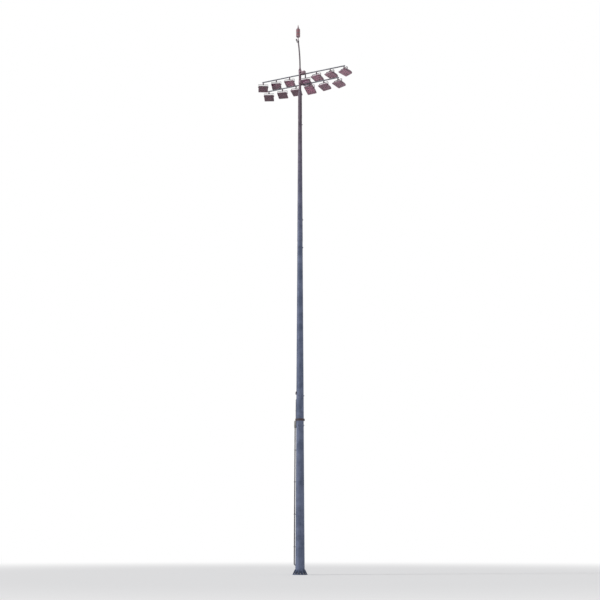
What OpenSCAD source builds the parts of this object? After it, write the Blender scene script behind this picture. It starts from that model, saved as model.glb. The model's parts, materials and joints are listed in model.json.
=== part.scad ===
// Floodlight pylon for a sports ground: a tapered steel mast in four sections,
// two crossarms behind its head, a fan of flat-glass floodlights that swivel
// and tilt in stirrups, and a warning beacon on a slightly bent pole.
// Millimetres, +Z up. The origin is the centre of the base plate's underside.
// +X runs along the crossarms, and the floodlights face -Y.

/* [Mast] */
// Height of the upper crossarm's centre line
upper_arm_z = 30200; // [29800:50:31200]
// Outside diameter at the foot of the mast
foot_d = 530; // [500:5:600]
// Outside diameter at the head of the mast
head_d = 232; // [220:2:260]
// Drop from the upper crossarm to the top of the conical mast
head_drop = 1350; // [1050:10:1600]
// Wall of the mast sections
mast_wall = 6; // [4:0.5:10]
// Height of the first slip joint
joint_1_z = 8700; // [8000:50:9500]
// Height of the second slip joint
joint_2_z = 19300; // [18000:50:20500]
// Height of the third slip joint
joint_3_z = 27100; // [26000:50:27400]
// Length that one section reaches up inside the next
slip_lap = 700; // [450:10:900]
// Outside diameter of the head tube that carries the crossarms
spine_d = 152; // [140:2:160]
// Wall of the head tube
spine_wall = 5; // [4:0.5:8]

/* [Base] */
// Diameter of the base plate
plate_d = 840; // [810:10:900]
// Thickness of the base plate
plate_t = 40; // [25:1:50]
// Diameter of the anchor bolt circle
bolt_pcd = 710; // [700:5:740]
// Number of anchor bolts
bolt_count = 12; // [8:1:14]
// Diameter of each anchor bolt hole
bolt_hole_d = 39; // [30:1:45]
// Diameter of each cable duct hole
duct_d = 110; // [80:5:130]
// Height of the gussets
gusset_h = 260; // [150:10:350]
// Thickness of the gussets
gusset_t = 14; // [8:1:20]
// Width of the access opening
door_w = 210; // [160:5:240]
// Height of the access opening
door_h = 620; // [400:10:800]
// Height of the access opening's centre
door_z = 1000; // [900:10:1400]

/* [Crossarms] */
// Drop from the upper crossarm to the lower one
arm_drop = 690; // [670:5:760]
// Outside diameter of the crossarms
arm_d = 76; // [60:1:90]
// Wall of the crossarms
arm_wall = 4; // [3:0.5:6]
// Distance of the crossarms behind the mast's axis
arm_standoff = 420; // [400:5:460]
// Length of crossarm beyond the outer floodlights
arm_overhang = 60; // [55:5:150]
// Drop from a crossarm's centre line to the underside of its lug plates
lug_drop = 155; // [90:5:170]
// Extra drop of the middle upper floodlight's lug plate
middle_drop = 130; // [0:5:140]
// Number of floodlights on the upper crossarm
upper_count = 7; // [5:2:7]
// Spacing of the upper floodlights
upper_pitch = 930; // [925:5:980]
// Sideways shift of the middle upper floodlight, clear of the head tube
middle_shift = 170; // [160:5:190]
// Number of floodlights on the lower crossarm
lower_count = 6; // [4:2:6]
// Spacing of the lower floodlights
lower_pitch = 950; // [925:5:1000]

/* [Floodlights] */
// Width of the housing
lamp_w = 600; // [540:5:610]
// Length of the housing, front to rear
lamp_l = 630; // [570:5:650]
// Depth of the housing, from its glass to its top
lamp_h = 180; // [150:5:190]
// Height of the upright rim round the glass
lamp_rim_h = 45; // [30:1:60]
// Wall of the housing
lamp_wall = 4; // [3:0.5:6]
// Distance of the housing's middle behind its pivot
lamp_setback = 100; // [60:5:105]
// Height of the pivot above the glass
pivot_h = 95; // [85:1:100]
// Drop from the lug plate to the pivot
pivot_reach = 170; // [165:5:190]
// Thickness of the glass
glass_t = 5; // [4:0.5:8]
// Width of the rim that shows round the glass
bezel_w = 26; // [20:1:40]
// Number of cooling fins on the housing
fin_count = 7; // [3:1:9]
// Tilt of each floodlight at rest, with its front edge raised
lamp_tilt = 12; // [0:1:20]
// Tilt at rest of the lower floodlight next to the mast on its right
steep_tilt = 28; // [0:1:32]
// Change of swivel from one upper floodlight to the next
upper_fan = 9.7; // [0:0.1:11]
// Change of swivel from one lower floodlight to the next
lower_fan = 8.6; // [0:0.1:11]
// Swivel that all lower floodlights share
lower_bias = 2; // [-4:0.5:4]
// Thickness of the stirrup's flat bar
stirrup_t = 8; // [6:1:10]
// Width of the stirrup's flat bar
stirrup_w = 60; // [50:1:70]

/* [Pole and beacon] */
// Outside diameter of the beacon pole
pole_d = 89; // [60:1:95]
// Wall of the beacon pole
pole_wall = 4; // [2.5:0.5:6]
// Length of the bent part of the beacon pole
pole_arc = 1850; // [1500:10:2000]
// Lean of the beacon pole at its top
pole_lean = 8; // [2:1:10]
// Diameter of the beacon
beacon_d = 250; // [200:2:270]
// Height of each beacon lens
lens_h = 185; // [120:5:200]
// Height of the finial above the beacon's cap
finial_h = 222; // [150:2:300]

/* [Riser] */
// Outside diameter of the cable riser pipe
riser_d = 70; // [40:1:80]
// Wall of the riser pipe and of the conduit above it
riser_wall = 3.5; // [2:0.5:6]
// Clear gap between the riser pipe and the mast
riser_gap = 60; // [50:1:80]
// Height of the riser's box
riser_box_h = 400; // [300:10:500]
// Drop from the first slip joint to the foot of that box
riser_box_drop = 510; // [500:10:900]
// Outside diameter of the conduit above the box
conduit_d = 50; // [30:1:60]
// Clear gap between the conduit and the first mast section
conduit_gap = 15; // [14:1:30]
// Length of the conduit, from the first slip joint to its bend
conduit_rise = 1080; // [900:10:1250]

/* [Hidden] */
$fn = 64;
eps = 1;
seat = 0.3;
foot_r = foot_d / 2;
spine_r = spine_d / 2;
arm_r = arm_d / 2;
pole_r = pole_d / 2;
beacon_r = beacon_d / 2;
riser_r = riser_d / 2;
conduit_r = conduit_d / 2;
lower_arm_z = upper_arm_z - arm_drop;
mast_top_z = upper_arm_z - head_drop;

// Each section is wider than the one inside it by one wall and one seat
step_r = mast_wall + seat;
taper = (foot_r - head_d / 2 + 3 * step_r) / mast_top_z;
joints_z = [joint_1_z, joint_2_z, joint_3_z];
function mast_r(n, z) = foot_r + n * step_r - taper * z;

// Lugs that draw a slip joint together, below and above the outer section's edge
jack_turns = [30, 150, 270];
jack_below = 420;
jack_above = slip_lap + 600;

// Access opening, its raised frame and the cover that laps it
door_frame_t = 10;
door_frame_w = 34;
door_t = 4;
door_lap = 18;
door_corner_r = 60;

// Lug, bolt and nut that hang a stirrup under a crossarm
lug_w = 90;
lug_t = 10;
bolt_r = 10;
washer_r = 22;
washer_t = 4;
nut_r = 17;
nut_h = 16;
thread_h = 10;
pivot_gap = 0.3;
bolt_gap = 0.3;
// Heights of a stirrup and its pivot below the lug plate's underside
stirrup_top = pivot_gap;
stirrup_in = stirrup_top + stirrup_t;

// Floodlight pivot: a pin on each stirrup arm in a boss on the housing
pin_r = 8;
pin_gap = 0.2;
pin_l = 24;
boss_r = 32;
boss_in = 50;
cheek_gap = 12;
arm_in_x = lamp_w / 2 + cheek_gap;
arm_out_x = arm_in_x + stirrup_t;
disc_r = 45;
front_y = lamp_setback - lamp_l / 2;
rear_y = lamp_setback + lamp_l / 2;
top_z = lamp_h - pivot_h;
ledge_w = 8;
rim_plate_t = 12;
fin_h = 12;
fin_t = 5;

middle_i = (upper_count - 1) / 2;
function upper_x(i) = (i - middle_i) * upper_pitch + (i == middle_i ? middle_shift : 0);
function upper_swivel(i) = -(i - middle_i) * upper_fan;
lower_mid = (lower_count - 1) / 2;
function lower_x(i) = (i - lower_mid) * lower_pitch;
function lower_swivel(i) = lower_bias - (i - lower_mid) * lower_fan;
function rest_tilt(i, upper) = !upper && i == ceil(lower_mid) ? steep_tilt : lamp_tilt;
function plate_drop(i, upper) = lug_drop + (upper && i == middle_i ? middle_drop : 0);

// Head fittings
bracket_h = 180;
bracket_t = 12;
bracket_x = 66;
bracket_end_r = arm_r + 12;
bracket_taper_y = arm_standoff - 140;
clamp_t = 14;
cap_t = 12;
cap_r = spine_r + 16;
spine_top_z = upper_arm_z + bracket_h / 2 + 20;
spine_low_z = mast_top_z - 300;
reducer_h = 120;
neck_h = 60;
socket_h = 120;
socket_t = 9;
pole_foot_z = spine_top_z + cap_t;
pole_bend_z = pole_foot_z + socket_h;
pole_bend_r = pole_arc * 180 / (PI * pole_lean);
pole_top_x = -pole_bend_r * (1 - cos(pole_lean));
pole_top_z = pole_bend_z + pole_bend_r * sin(pole_lean);
pole_disc_r = 60;
pole_disc_t = 12;
beacon_z = pole_top_z + pole_disc_t;

// Beacon heights above its flange
neck_top = 210;
skirt_top = 280;
lens_z = 320;
waist_h = 40;
lens_2_z = lens_z + lens_h + waist_h;
lens_top = lens_2_z + lens_h;
cap_h = 130;
lens_wall = 6;

// Riser
riser_low_z = 620;
riser_box_z = joint_1_z - riser_box_drop;
riser_axis = riser_r + riser_gap;
riser_bend_r = riser_axis + 10;
riser_box_w = 120;
riser_box_d = 120;
riser_box_gap = 12;
riser_lean = atan(taper);
strap_z = [1500, 3300, 5100, 6900];
conduit_x = riser_axis - conduit_gap - conduit_r;
conduit_low_z = riser_box_z + riser_box_h;
conduit_high_z = joint_1_z + conduit_rise;
conduit_bend_r = 55;
conduit_strap_z = joint_1_z + 450;
// Length that a strap or foot runs into the mast, where the mast's cone trims it
trim = 60;

light_zinc = [0.56, 0.58, 0.62];
zinc = [0.50, 0.53, 0.58];
dark = [0.20, 0.20, 0.22];
alu = [0.46, 0.44, 0.46];
pane = [0.72, 0.78, 0.80];
red = [0.72, 0.12, 0.12];

upper_ids = [for (i = [1:upper_count]) str("upper_", i)];
lower_ids = [for (i = [1:lower_count]) str("lower_", i)];
lamp_ids = concat(upper_ids, lower_ids);

// Cone that follows section n's outside from z0 to z1, moved out by grow
module mast_cone(n, z0, z1, grow = 0) {
    translate([0, 0, z0])
        cylinder(h = z1 - z0, r1 = mast_r(n, z0) + grow, r2 = mast_r(n, z1) + grow);
}

// Hollow length of mast
module mast_shell(n, z0, z1) {
    difference() {
        mast_cone(n, z0, z1);
        mast_cone(n, z0 - eps, z1 + eps, -mast_wall);
    }
}

// Lugs for drawing a slip joint together
module jacking_lugs(n, z) {
    lug_out = 34;
    lug_side = 26;
    lug_h = 60;
    for (turn = jack_turns)
        rotate([0, 0, turn])
            translate([mast_r(n, z) - mast_wall / 2, -lug_side / 2, z])
                cube([lug_out, lug_side, lug_h]);
}

// Outline with round corners, centred on the origin
module round_rect(w, h, r) {
    square([w - 2 * r, h], center = true);
    square([w, h - 2 * r], center = true);
    for (x = [-1, 1])
        for (y = [-1, 1])
            translate([x * (w / 2 - r), y * (h / 2 - r)])
                circle(r);
}

// Prism through the mast's rear wall, grown round the access opening
module door_prism(grow) {
    translate([0, 0, door_z])
        rotate([90, 0, 180])
            linear_extrude(foot_d)
                round_rect(door_w + 2 * grow, door_h + 2 * grow, door_corner_r + grow);
}

// Curved plate on the rear of the mast, from in_r to out_r off its surface
module door_ring(in_r, out_r, grow) {
    reach = door_h / 2 + grow + eps;
    intersection() {
        difference() {
            mast_cone(0, door_z - reach, door_z + reach, out_r);
            mast_cone(0, door_z - reach - eps, door_z + reach + eps, in_r);
        }
        door_prism(grow);
    }
}

// Welded rib on the base plate that props the mast
module gusset() {
    inner_r = foot_r - 3 * mast_wall;
    outer_r = plate_d / 2 - 12;
    nose_h = 25;
    rotate([90, 0, 0])
        translate([0, 0, -gusset_t / 2])
            linear_extrude(gusset_t)
                polygon([
                    [inner_r, plate_t - eps],
                    [outer_r, plate_t - eps],
                    [outer_r, plate_t + nose_h],
                    [foot_r + nose_h, plate_t + gusset_h],
                    [inner_r, plate_t + gusset_h]
                ]);
}

// Plate with its bolt holes, cable ducts and a gusset between each two bolts
module base_plate() {
    gusset_top = plate_t + gusset_h;
    color(zinc)
        difference() {
            union() {
                cylinder(h = plate_t, r = plate_d / 2);
                for (i = [0:bolt_count - 1])
                    rotate([0, 0, (i + 0.5) * 360 / bolt_count])
                        gusset();
            }
            mast_cone(0, plate_t, gusset_top + eps, seat);
            for (i = [0:bolt_count - 1])
                rotate([0, 0, i * 360 / bolt_count])
                    translate([bolt_pcd / 2, 0, -eps])
                        cylinder(h = plate_t + 2 * eps, r = bolt_hole_d / 2);
            for (side = [-1, 1])
                translate([0, side * foot_r / 2, -eps])
                    cylinder(h = plate_t + 2 * eps, r = duct_d / 2);
        }
}

module mast_section_1() {
    color(zinc)
        difference() {
            union() {
                mast_cone(0, plate_t, joint_1_z + slip_lap);
                door_ring(-mast_wall / 2, door_frame_t, door_frame_w);
                jacking_lugs(0, joint_1_z - jack_below);
            }
            mast_cone(0, plate_t - eps, joint_1_z + slip_lap + eps, -mast_wall);
            door_prism(0);
        }
}

// Section n between two slip joints, sleeved over the one below
module mast_section(n) {
    top = joints_z[n] + slip_lap;
    color(light_zinc)
        union() {
            mast_shell(n, joints_z[n - 1], top);
            difference() {
                union() {
                    jacking_lugs(n, joints_z[n - 1] + jack_above);
                    jacking_lugs(n, joints_z[n] - jack_below);
                }
                mast_cone(n, joints_z[n - 1], top, -mast_wall);
            }
        }
}

// Top section, closed in by a cone to the head tube
module mast_section_4() {
    n = 3;
    neck_r = spine_r + seat + mast_wall;
    top_r = mast_r(n, mast_top_z);
    color(light_zinc)
        difference() {
            union() {
                mast_cone(n, joint_3_z, mast_top_z);
                translate([0, 0, mast_top_z])
                    cylinder(h = reducer_h, r1 = top_r, r2 = neck_r);
                translate([0, 0, mast_top_z + reducer_h])
                    cylinder(h = neck_h, r = neck_r);
            }
            mast_cone(n, joint_3_z - eps, mast_top_z, -mast_wall);
            translate([0, 0, mast_top_z])
                cylinder(h = reducer_h, r1 = top_r - mast_wall, r2 = spine_r + seat);
            translate([0, 0, mast_top_z + reducer_h - eps])
                cylinder(h = neck_h + 2 * eps, r = spine_r + seat);
        }
}

// Curved plate that closes the access opening, with its two lock bosses
module access_door() {
    lock_r = 16;
    lock_h = 8;
    lock_z = door_h * 0.36;
    lock_y = mast_r(0, door_z) + door_frame_t + seat + door_t / 2;
    color(zinc)
        union() {
            door_ring(door_frame_t + seat, door_frame_t + seat + door_t, door_lap);
            for (side = [-1, 1])
                translate([0, lock_y, door_z + side * lock_z])
                    rotate([-90, 0, 0])
                        cylinder(h = door_t / 2 + lock_h, r = lock_r);
        }
}

// Dark two-part clamp under the upper section's edge, with ears on both sides
module joint_collar() {
    strap_h = 130;
    strap_t = 8;
    ear_t = 12;
    ear_gap = 8;
    ear_out = 50;
    ear_turn = 24;
    z0 = joint_1_z - strap_h;
    color(dark)
        difference() {
            union() {
                mast_cone(0, z0, z0 + strap_h, seat + strap_t);
                for (turn = [ear_turn, ear_turn + 180])
                    for (side = [-1, 1])
                        rotate([0, 0, turn])
                            translate([0, side * (ear_gap + ear_t) / 2 - ear_t / 2, z0])
                                cube([mast_r(0, z0) + strap_t + ear_out, ear_t, strap_h]);
            }
            mast_cone(0, z0 - eps, z0 + strap_h + eps, seat);
        }
}

// Dark weather hood over a cable entry, low on the second section's front left
module cable_hood() {
    hood_w = 105;
    hood_h = 170;
    hood_out = 48;
    hood_turn = 214;
    hood_z = joint_1_z + jack_above + 100;
    surface_r = mast_r(1, hood_z);
    color(dark)
        difference() {
            rotate([0, 0, hood_turn])
                rotate([90, 0, 0])
                    translate([0, 0, -hood_w / 2])
                        linear_extrude(hood_w)
                            polygon([
                                [surface_r - trim, hood_z],
                                [surface_r + hood_out, hood_z],
                                [surface_r + hood_out, hood_z + hood_h * 0.6],
                                [surface_r + hood_out * 0.4, hood_z + hood_h],
                                [surface_r - trim, hood_z + hood_h]
                            ]);
            mast_cone(1, hood_z - eps, hood_z + hood_h + eps, seat);
        }
}

// Frame of the riser: Z runs up beside the mast's left side, parallel to it
module riser_frame() {
    translate([-foot_r - riser_axis, 0, 0])
        rotate([0, riser_lean, 0])
            children();
}

// Straight riser and the quarter bend at its foot, as a bar of radius r
module riser_run(r) {
    translate([0, 0, riser_low_z])
        cylinder(h = riser_box_z - riser_low_z, r = r);
    translate([riser_bend_r, 0, riser_low_z])
        rotate([-90, 0, 180])
            rotate_extrude(angle = 90)
                translate([riser_bend_r, 0])
                    circle(r);
}

// Conduit above the box and its quarter bend into the mast, as a bar of radius r
module conduit_run(r) {
    translate([conduit_x, 0, conduit_low_z])
        cylinder(h = conduit_high_z - conduit_low_z, r = r);
    translate([conduit_x + conduit_bend_r, 0, conduit_high_z])
        rotate([90, 0, 180])
            rotate_extrude(angle = 90)
                translate([conduit_bend_r, 0])
                    circle(r);
}

// Conduit on its one strap, trimmed at the two lowest mast sections
module conduit() {
    strap_w = 64;
    strap_h = 32;
    strap_lip = 4;
    difference() {
        riser_frame()
            union() {
                conduit_run(conduit_r);
                translate([conduit_x - conduit_r - strap_lip, -strap_w / 2, conduit_strap_z])
                    cube([strap_lip + 2 * conduit_r + conduit_gap + trim, strap_w, strap_h]);
            }
        riser_frame()
            conduit_run(conduit_r - riser_wall);
        mast_cone(1, joint_1_z, joint_2_z, seat);
    }
}

// Pipe with a bend into the mast at its foot, on four straps, and the conduit
module riser_pipe() {
    strap_w = 80;
    strap_h = 40;
    strap_lip = 5;
    color(zinc) {
        difference() {
            riser_frame()
                union() {
                    riser_run(riser_r);
                    for (z = strap_z)
                        translate([-riser_r - strap_lip, -strap_w / 2, z])
                            cube([strap_lip + 2 * riser_r + riser_gap + trim, strap_w, strap_h]);
                }
            riser_frame()
                riser_run(riser_r - riser_wall);
            mast_cone(0, 0, joint_1_z, seat);
        }
        conduit();
    }
}

// Small weatherproof box between the riser and the conduit, on two feet
module riser_box() {
    foot_h = 50;
    foot_w = 90;
    foot_in = 40;
    box_x = riser_axis - riser_box_gap - riser_box_d;
    color(light_zinc)
        difference() {
            union() {
                riser_frame()
                    translate([box_x, -riser_box_w / 2, riser_box_z])
                        cube([riser_box_d, riser_box_w, riser_box_h]);
                for (z = [foot_in, riser_box_h - foot_h - foot_in])
                    riser_frame()
                        translate([0, -foot_w / 2, riser_box_z + z])
                            cube([riser_axis + trim, foot_w, foot_h]);
            }
            mast_cone(0, 0, joint_1_z, seat);
        }
}

// Upright tube at the mast's head, with a cap and a socket for the pole
module head_tube() {
    color(light_zinc)
        union() {
            difference() {
                translate([0, 0, spine_low_z])
                    cylinder(h = spine_top_z - spine_low_z, r = spine_r);
                translate([0, 0, spine_low_z - eps])
                    cylinder(h = spine_top_z - spine_low_z, r = spine_r - spine_wall);
            }
            translate([0, 0, spine_top_z])
                cylinder(h = cap_t, r = cap_r);
            difference() {
                translate([0, 0, pole_foot_z])
                    cylinder(h = socket_h, r = pole_r + seat + socket_t);
                translate([0, 0, pole_foot_z])
                    cylinder(h = socket_h + eps, r = pole_r + seat);
            }
        }
}

// Junction box on the right of the head tube
module head_box() {
    box_w = 220;
    box_d = 200;
    box_h = 200;
    box_x = spine_r + 64;
    box_z = upper_arm_z - 220;
    foot_h = 70;
    foot_in = 20;
    foot_x = spine_r / 2;
    color(alu)
        difference() {
            union() {
                translate([box_x, -box_d / 2, box_z])
                    cube([box_w, box_d, box_h]);
                translate([foot_x, -box_d / 4, box_z + foot_in])
                    cube([box_x + eps - foot_x, box_d / 2, foot_h]);
            }
            translate([0, 0, box_z])
                cylinder(h = box_h, r = spine_r + seat);
        }
}

// Clamp round the head tube with two cheeks that the crossarm passes through
module arm_bracket(z) {
    web_t = 10;
    web_y = arm_standoff - arm_r - 20;
    color(zinc)
        translate([0, 0, z])
            difference() {
                union() {
                    translate([0, 0, -bracket_h / 2])
                        cylinder(h = bracket_h, r = spine_r + seat + clamp_t);
                    for (side = [-1, 1])
                        translate([side * bracket_x - bracket_t / 2, 0, 0])
                            rotate([90, 0, 90])
                                linear_extrude(bracket_t)
                                    union() {
                                        polygon([
                                            [0, -bracket_h / 2],
                                            [bracket_taper_y, -bracket_end_r],
                                            [arm_standoff, -bracket_end_r],
                                            [arm_standoff, bracket_end_r],
                                            [bracket_taper_y, bracket_end_r],
                                            [0, bracket_h / 2]
                                        ]);
                                        translate([arm_standoff, 0])
                                            circle(bracket_end_r);
                                    }
                    translate([-bracket_x, spine_r, -web_t / 2])
                        cube([2 * bracket_x, web_y - spine_r, web_t]);
                }
                translate([0, 0, -bracket_h])
                    cylinder(h = 2 * bracket_h, r = spine_r + seat);
                translate([-bracket_x - bracket_t, arm_standoff, 0])
                    rotate([0, 90, 0])
                        cylinder(h = 2 * (bracket_x + bracket_t), r = arm_r + seat);
            }
}

// Post and lug plate under a crossarm, with the bolt and nut for a stirrup
module stirrup_lug(drop) {
    post_w = 56;
    nut_top = stirrup_in + pivot_gap;
    bolt_l = nut_top + washer_t + nut_h + thread_h;
    translate([-post_w / 2, -post_w / 2, -drop + lug_t])
        cube([post_w, post_w, drop - lug_t]);
    translate([0, 0, -drop]) {
        translate([-lug_w / 2, -lug_w / 2, 0])
            cube([lug_w, lug_w, lug_t]);
        translate([0, 0, -bolt_l])
            cylinder(h = bolt_l + eps, r = bolt_r);
        translate([0, 0, -nut_top - washer_t])
            cylinder(h = washer_t, r = washer_r);
        translate([0, 0, -nut_top - washer_t - nut_h])
            cylinder(h = nut_h, r = nut_r, $fn = 6);
    }
}

// Crossarm tube with closed ends and one lug for each floodlight
module crossarm(z, xs, upper) {
    end_t = 6;
    x0 = xs[0] - arm_overhang;
    x1 = xs[len(xs) - 1] + arm_overhang;
    color(light_zinc)
        translate([0, arm_standoff, z])
            difference() {
                union() {
                    translate([x0, 0, 0])
                        rotate([0, 90, 0])
                            cylinder(h = x1 - x0, r = arm_r);
                    for (i = [0:len(xs) - 1])
                        translate([xs[i], 0, 0])
                            stirrup_lug(plate_drop(i, upper));
                }
                translate([x0 + end_t, 0, 0])
                    rotate([0, 90, 0])
                        cylinder(h = x1 - x0 - 2 * end_t, r = arm_r - arm_wall);
            }
}

// Place under the lug plate that a floodlight hangs from, turned to its swivel angle
module at_lamp(i, upper) {
    x = upper ? upper_x(i) : lower_x(i);
    arm_z = upper ? upper_arm_z : lower_arm_z;
    swivel = upper ? upper_swivel(i) : lower_swivel(i);
    translate([x, arm_standoff, arm_z - plate_drop(i, upper)])
        rotate([0, 0, swivel])
            children();
}

// Bent flat bar over a floodlight, with the two pivot bolts
module stirrup(i, upper) {
    bend_r = 24;
    reach = pivot_reach + disc_r + eps;
    color(zinc)
        at_lamp(i, upper)
            union() {
                difference() {
                    intersection() {
                        rotate([90, 0, 0])
                            translate([0, 0, -disc_r])
                                linear_extrude(2 * disc_r)
                                    difference() {
                                        bend_outline(arm_out_x, stirrup_top, reach, bend_r);
                                        bend_outline(arm_in_x, stirrup_in, reach + eps, bend_r - stirrup_t);
                                    }
                        rotate([90, 0, 90])
                            translate([0, 0, -arm_out_x - eps])
                                linear_extrude(2 * arm_out_x + 2 * eps)
                                    union() {
                                        translate([-stirrup_w / 2, -pivot_reach])
                                            square([stirrup_w, pivot_reach]);
                                        translate([0, -pivot_reach])
                                            circle(disc_r);
                                    }
                    }
                    translate([0, 0, -stirrup_in - eps])
                        cylinder(h = stirrup_t + 2 * eps, r = bolt_r + bolt_gap);
                }
                for (side = [0, 1])
                    rotate([0, 0, 180 * side])
                        translate([arm_in_x - pin_l, 0, -pivot_reach])
                            rotate([0, 90, 0])
                                pivot_bolt();
            }
}

// Outline of a stirrup, x to each side and from z down to reach
module bend_outline(x, z, reach, r) {
    translate([-x, -reach])
        square([2 * x, reach - z - r]);
    translate([-x + r, -reach])
        square([2 * (x - r), reach - z]);
    for (side = [-1, 1])
        translate([side * (x - r), -z - r])
            circle(r);
}

// Pivot pin with its hexagonal head outside the stirrup arm
module pivot_bolt() {
    head_r = 15;
    head_h = 10;
    cylinder(h = pin_l + stirrup_t, r = pin_r);
    translate([0, 0, pin_l + stirrup_t - eps])
        cylinder(h = head_h + eps, r = head_r, $fn = 6);
}

// Side outline of the housing, y to the rear and z up from the pivot
module lamp_side(inset) {
    low = -pivot_h;
    polygon([
        [front_y + inset, low],
        [front_y + inset, low + lamp_rim_h],
        [front_y + lamp_l * 0.33 + inset / 2, top_z - inset],
        [rear_y - lamp_l * 0.2 - inset / 2, top_z - inset],
        [rear_y - inset, low + lamp_h * 0.62],
        [rear_y - inset, low]
    ]);
}

// Front outline of the housing, narrower towards its top
module lamp_front(inset) {
    low = -pivot_h;
    half_w = lamp_w / 2 - inset;
    polygon([
        [-half_w, low],
        [-half_w, low + lamp_rim_h],
        [-half_w + 34, top_z - 26 - inset],
        [-half_w + 62, top_z - inset],
        [half_w - 62, top_z - inset],
        [half_w - 34, top_z - 26 - inset],
        [half_w, low + lamp_rim_h],
        [half_w, low]
    ]);
}

module lamp_block(inset) {
    intersection() {
        translate([-lamp_w / 2, 0, 0])
            rotate([90, 0, 90])
                linear_extrude(lamp_w)
                    lamp_side(inset);
        translate([0, rear_y, 0])
            rotate([90, 0, 0])
                linear_extrude(lamp_l)
                    lamp_front(inset);
    }
}

// Slab on the glass side of the housing, set in from its edge
module lamp_slab(inset, z0, z1) {
    translate([-lamp_w / 2 + inset, front_y + inset, z0])
        cube([lamp_w - 2 * inset, lamp_l - 2 * inset, z1 - z0]);
}

// Place of a floodlight's pivot, tilted with the front edge raised
module at_pivot(i, upper) {
    at_lamp(i, upper)
        translate([0, 0, -pivot_reach])
            rotate([-rest_tilt(i, upper), 0, 0])
                children();
}

// Cast shell with a rim for the glass, pivot bosses, fins and a cable gland
module housing(i, upper) {
    low = -pivot_h;
    boss_out = arm_in_x - pivot_gap;
    fin_pitch = (lamp_w - 170) / (fin_count - 1);
    gland_r = 13;
    color(alu)
        at_pivot(i, upper)
            difference() {
                union() {
                    difference() {
                        lamp_block(0);
                        intersection() {
                            lamp_block(lamp_wall);
                            lamp_slab(0, low + rim_plate_t, top_z + eps);
                        }
                        lamp_slab(bezel_w, low - eps, low + rim_plate_t + eps);
                        lamp_slab(bezel_w - ledge_w, low - eps, low + glass_t);
                    }
                    for (side = [0, 1])
                        rotate([0, 0, 180 * side])
                            translate([boss_out - boss_in, 0, 0])
                                rotate([0, 90, 0])
                                    cylinder(h = boss_in, r = boss_r);
                    for (k = [0:fin_count - 1])
                        translate([
                            (k - (fin_count - 1) / 2) * fin_pitch - fin_t / 2,
                            front_y + lamp_l * 0.36,
                            top_z - eps
                        ])
                            cube([fin_t, lamp_l * 0.42, fin_h + eps]);
                    translate([lamp_w * 0.28, rear_y - lamp_wall / 2, low + lamp_h * 0.4])
                        rotate([-90, 0, 0])
                            cylinder(h = 30, r = gland_r);
                }
                for (side = [0, 1])
                    rotate([0, 0, 180 * side])
                        translate([boss_out - pin_l - pivot_gap, 0, 0])
                            rotate([0, 90, 0])
                                cylinder(h = pin_l + eps, r = pin_r + pin_gap);
            }
}

module glass(i, upper) {
    inset = bezel_w - ledge_w + seat;
    color(pane)
        at_pivot(i, upper)
            lamp_slab(inset, -pivot_h, -pivot_h + glass_t);
}

// Place on the bent pole, s along its arc
module on_pole(s) {
    a = pole_lean * s / pole_arc;
    translate([-pole_bend_r * (1 - cos(a)), 0, pole_bend_z + pole_bend_r * sin(a)])
        rotate([0, -a, 0])
            children();
}

// Slice of the bent pole, seen as an arc in the XZ plane
module pole_bend(r) {
    translate([-pole_bend_r, 0, pole_bend_z])
        rotate([90, 0, 0])
            rotate_extrude(angle = pole_lean, $fn = 720)
                translate([pole_bend_r, 0])
                    circle(r, $fn = 48);
}

// Hollow pole with a collar and a disc for the beacon at its top
module beacon_pole() {
    collar_h = 30;
    color(light_zinc)
        union() {
            difference() {
                union() {
                    translate([0, 0, pole_foot_z])
                        cylinder(h = socket_h, r = pole_r, $fn = 48);
                    pole_bend(pole_r);
                }
                translate([0, 0, pole_foot_z - eps])
                    cylinder(h = socket_h + eps, r = pole_r - pole_wall, $fn = 48);
                pole_bend(pole_r - pole_wall);
            }
            translate([pole_top_x, 0, pole_top_z])
                cylinder(h = pole_disc_t, r = pole_disc_r);
            translate([pole_top_x, 0, pole_top_z - collar_h + eps])
                cylinder(h = collar_h, r = pole_r + 4);
        }
}

// Clamp and upturned arm with a small light sensor, on the left of the pole
module sensor_arm() {
    ring_t = 9;
    ring_h = 60;
    ring_gap = 35;
    tube_r = 17;
    bend = 40;
    out = 15;
    rise = 110;
    head_r = 40;
    head_h = 90;
    color(dark)
        on_pole(pole_arc - ring_h - ring_gap)
            difference() {
                union() {
                    cylinder(h = ring_h, r = pole_r + seat + ring_t);
                    translate([-pole_r - out, 0, ring_h / 2])
                        rotate([0, 90, 0])
                            cylinder(h = out, r = tube_r);
                    translate([-pole_r - out, 0, ring_h / 2 + bend])
                        rotate([90, 0, 0])
                            rotate([0, 0, 180])
                                rotate_extrude(angle = 90)
                                    translate([bend, 0])
                                        circle(tube_r);
                    translate([-pole_r - out - bend, 0, ring_h / 2 + bend])
                        cylinder(h = rise, r = tube_r);
                    translate([-pole_r - out - bend, 0, ring_h / 2 + bend + rise])
                        cylinder(h = head_h, r = head_r);
                }
                translate([0, 0, -eps])
                    cylinder(h = ring_h + 2 * eps, r = pole_r + seat);
            }
}

module on_beacon() {
    translate([pole_top_x, 0, beacon_z])
        children();
}

// Flange, neck, skirt, waist and inner column of the beacon
module beacon_frame() {
    column_r = 24;
    neck_r = 28;
    waist_r = beacon_r - 12;
    color(dark)
        on_beacon()
            rotate_extrude()
                polygon([
                    [0, 0], [pole_disc_r, 0], [pole_disc_r, 10], [neck_r, 14], [neck_r, neck_top],
                    [beacon_r, skirt_top], [beacon_r, lens_z], [column_r, lens_z],
                    [column_r, lens_z + lens_h], [waist_r, lens_z + lens_h], [waist_r, lens_2_z],
                    [column_r, lens_2_z], [column_r, lens_top], [0, lens_top]
                ]);
}

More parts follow.
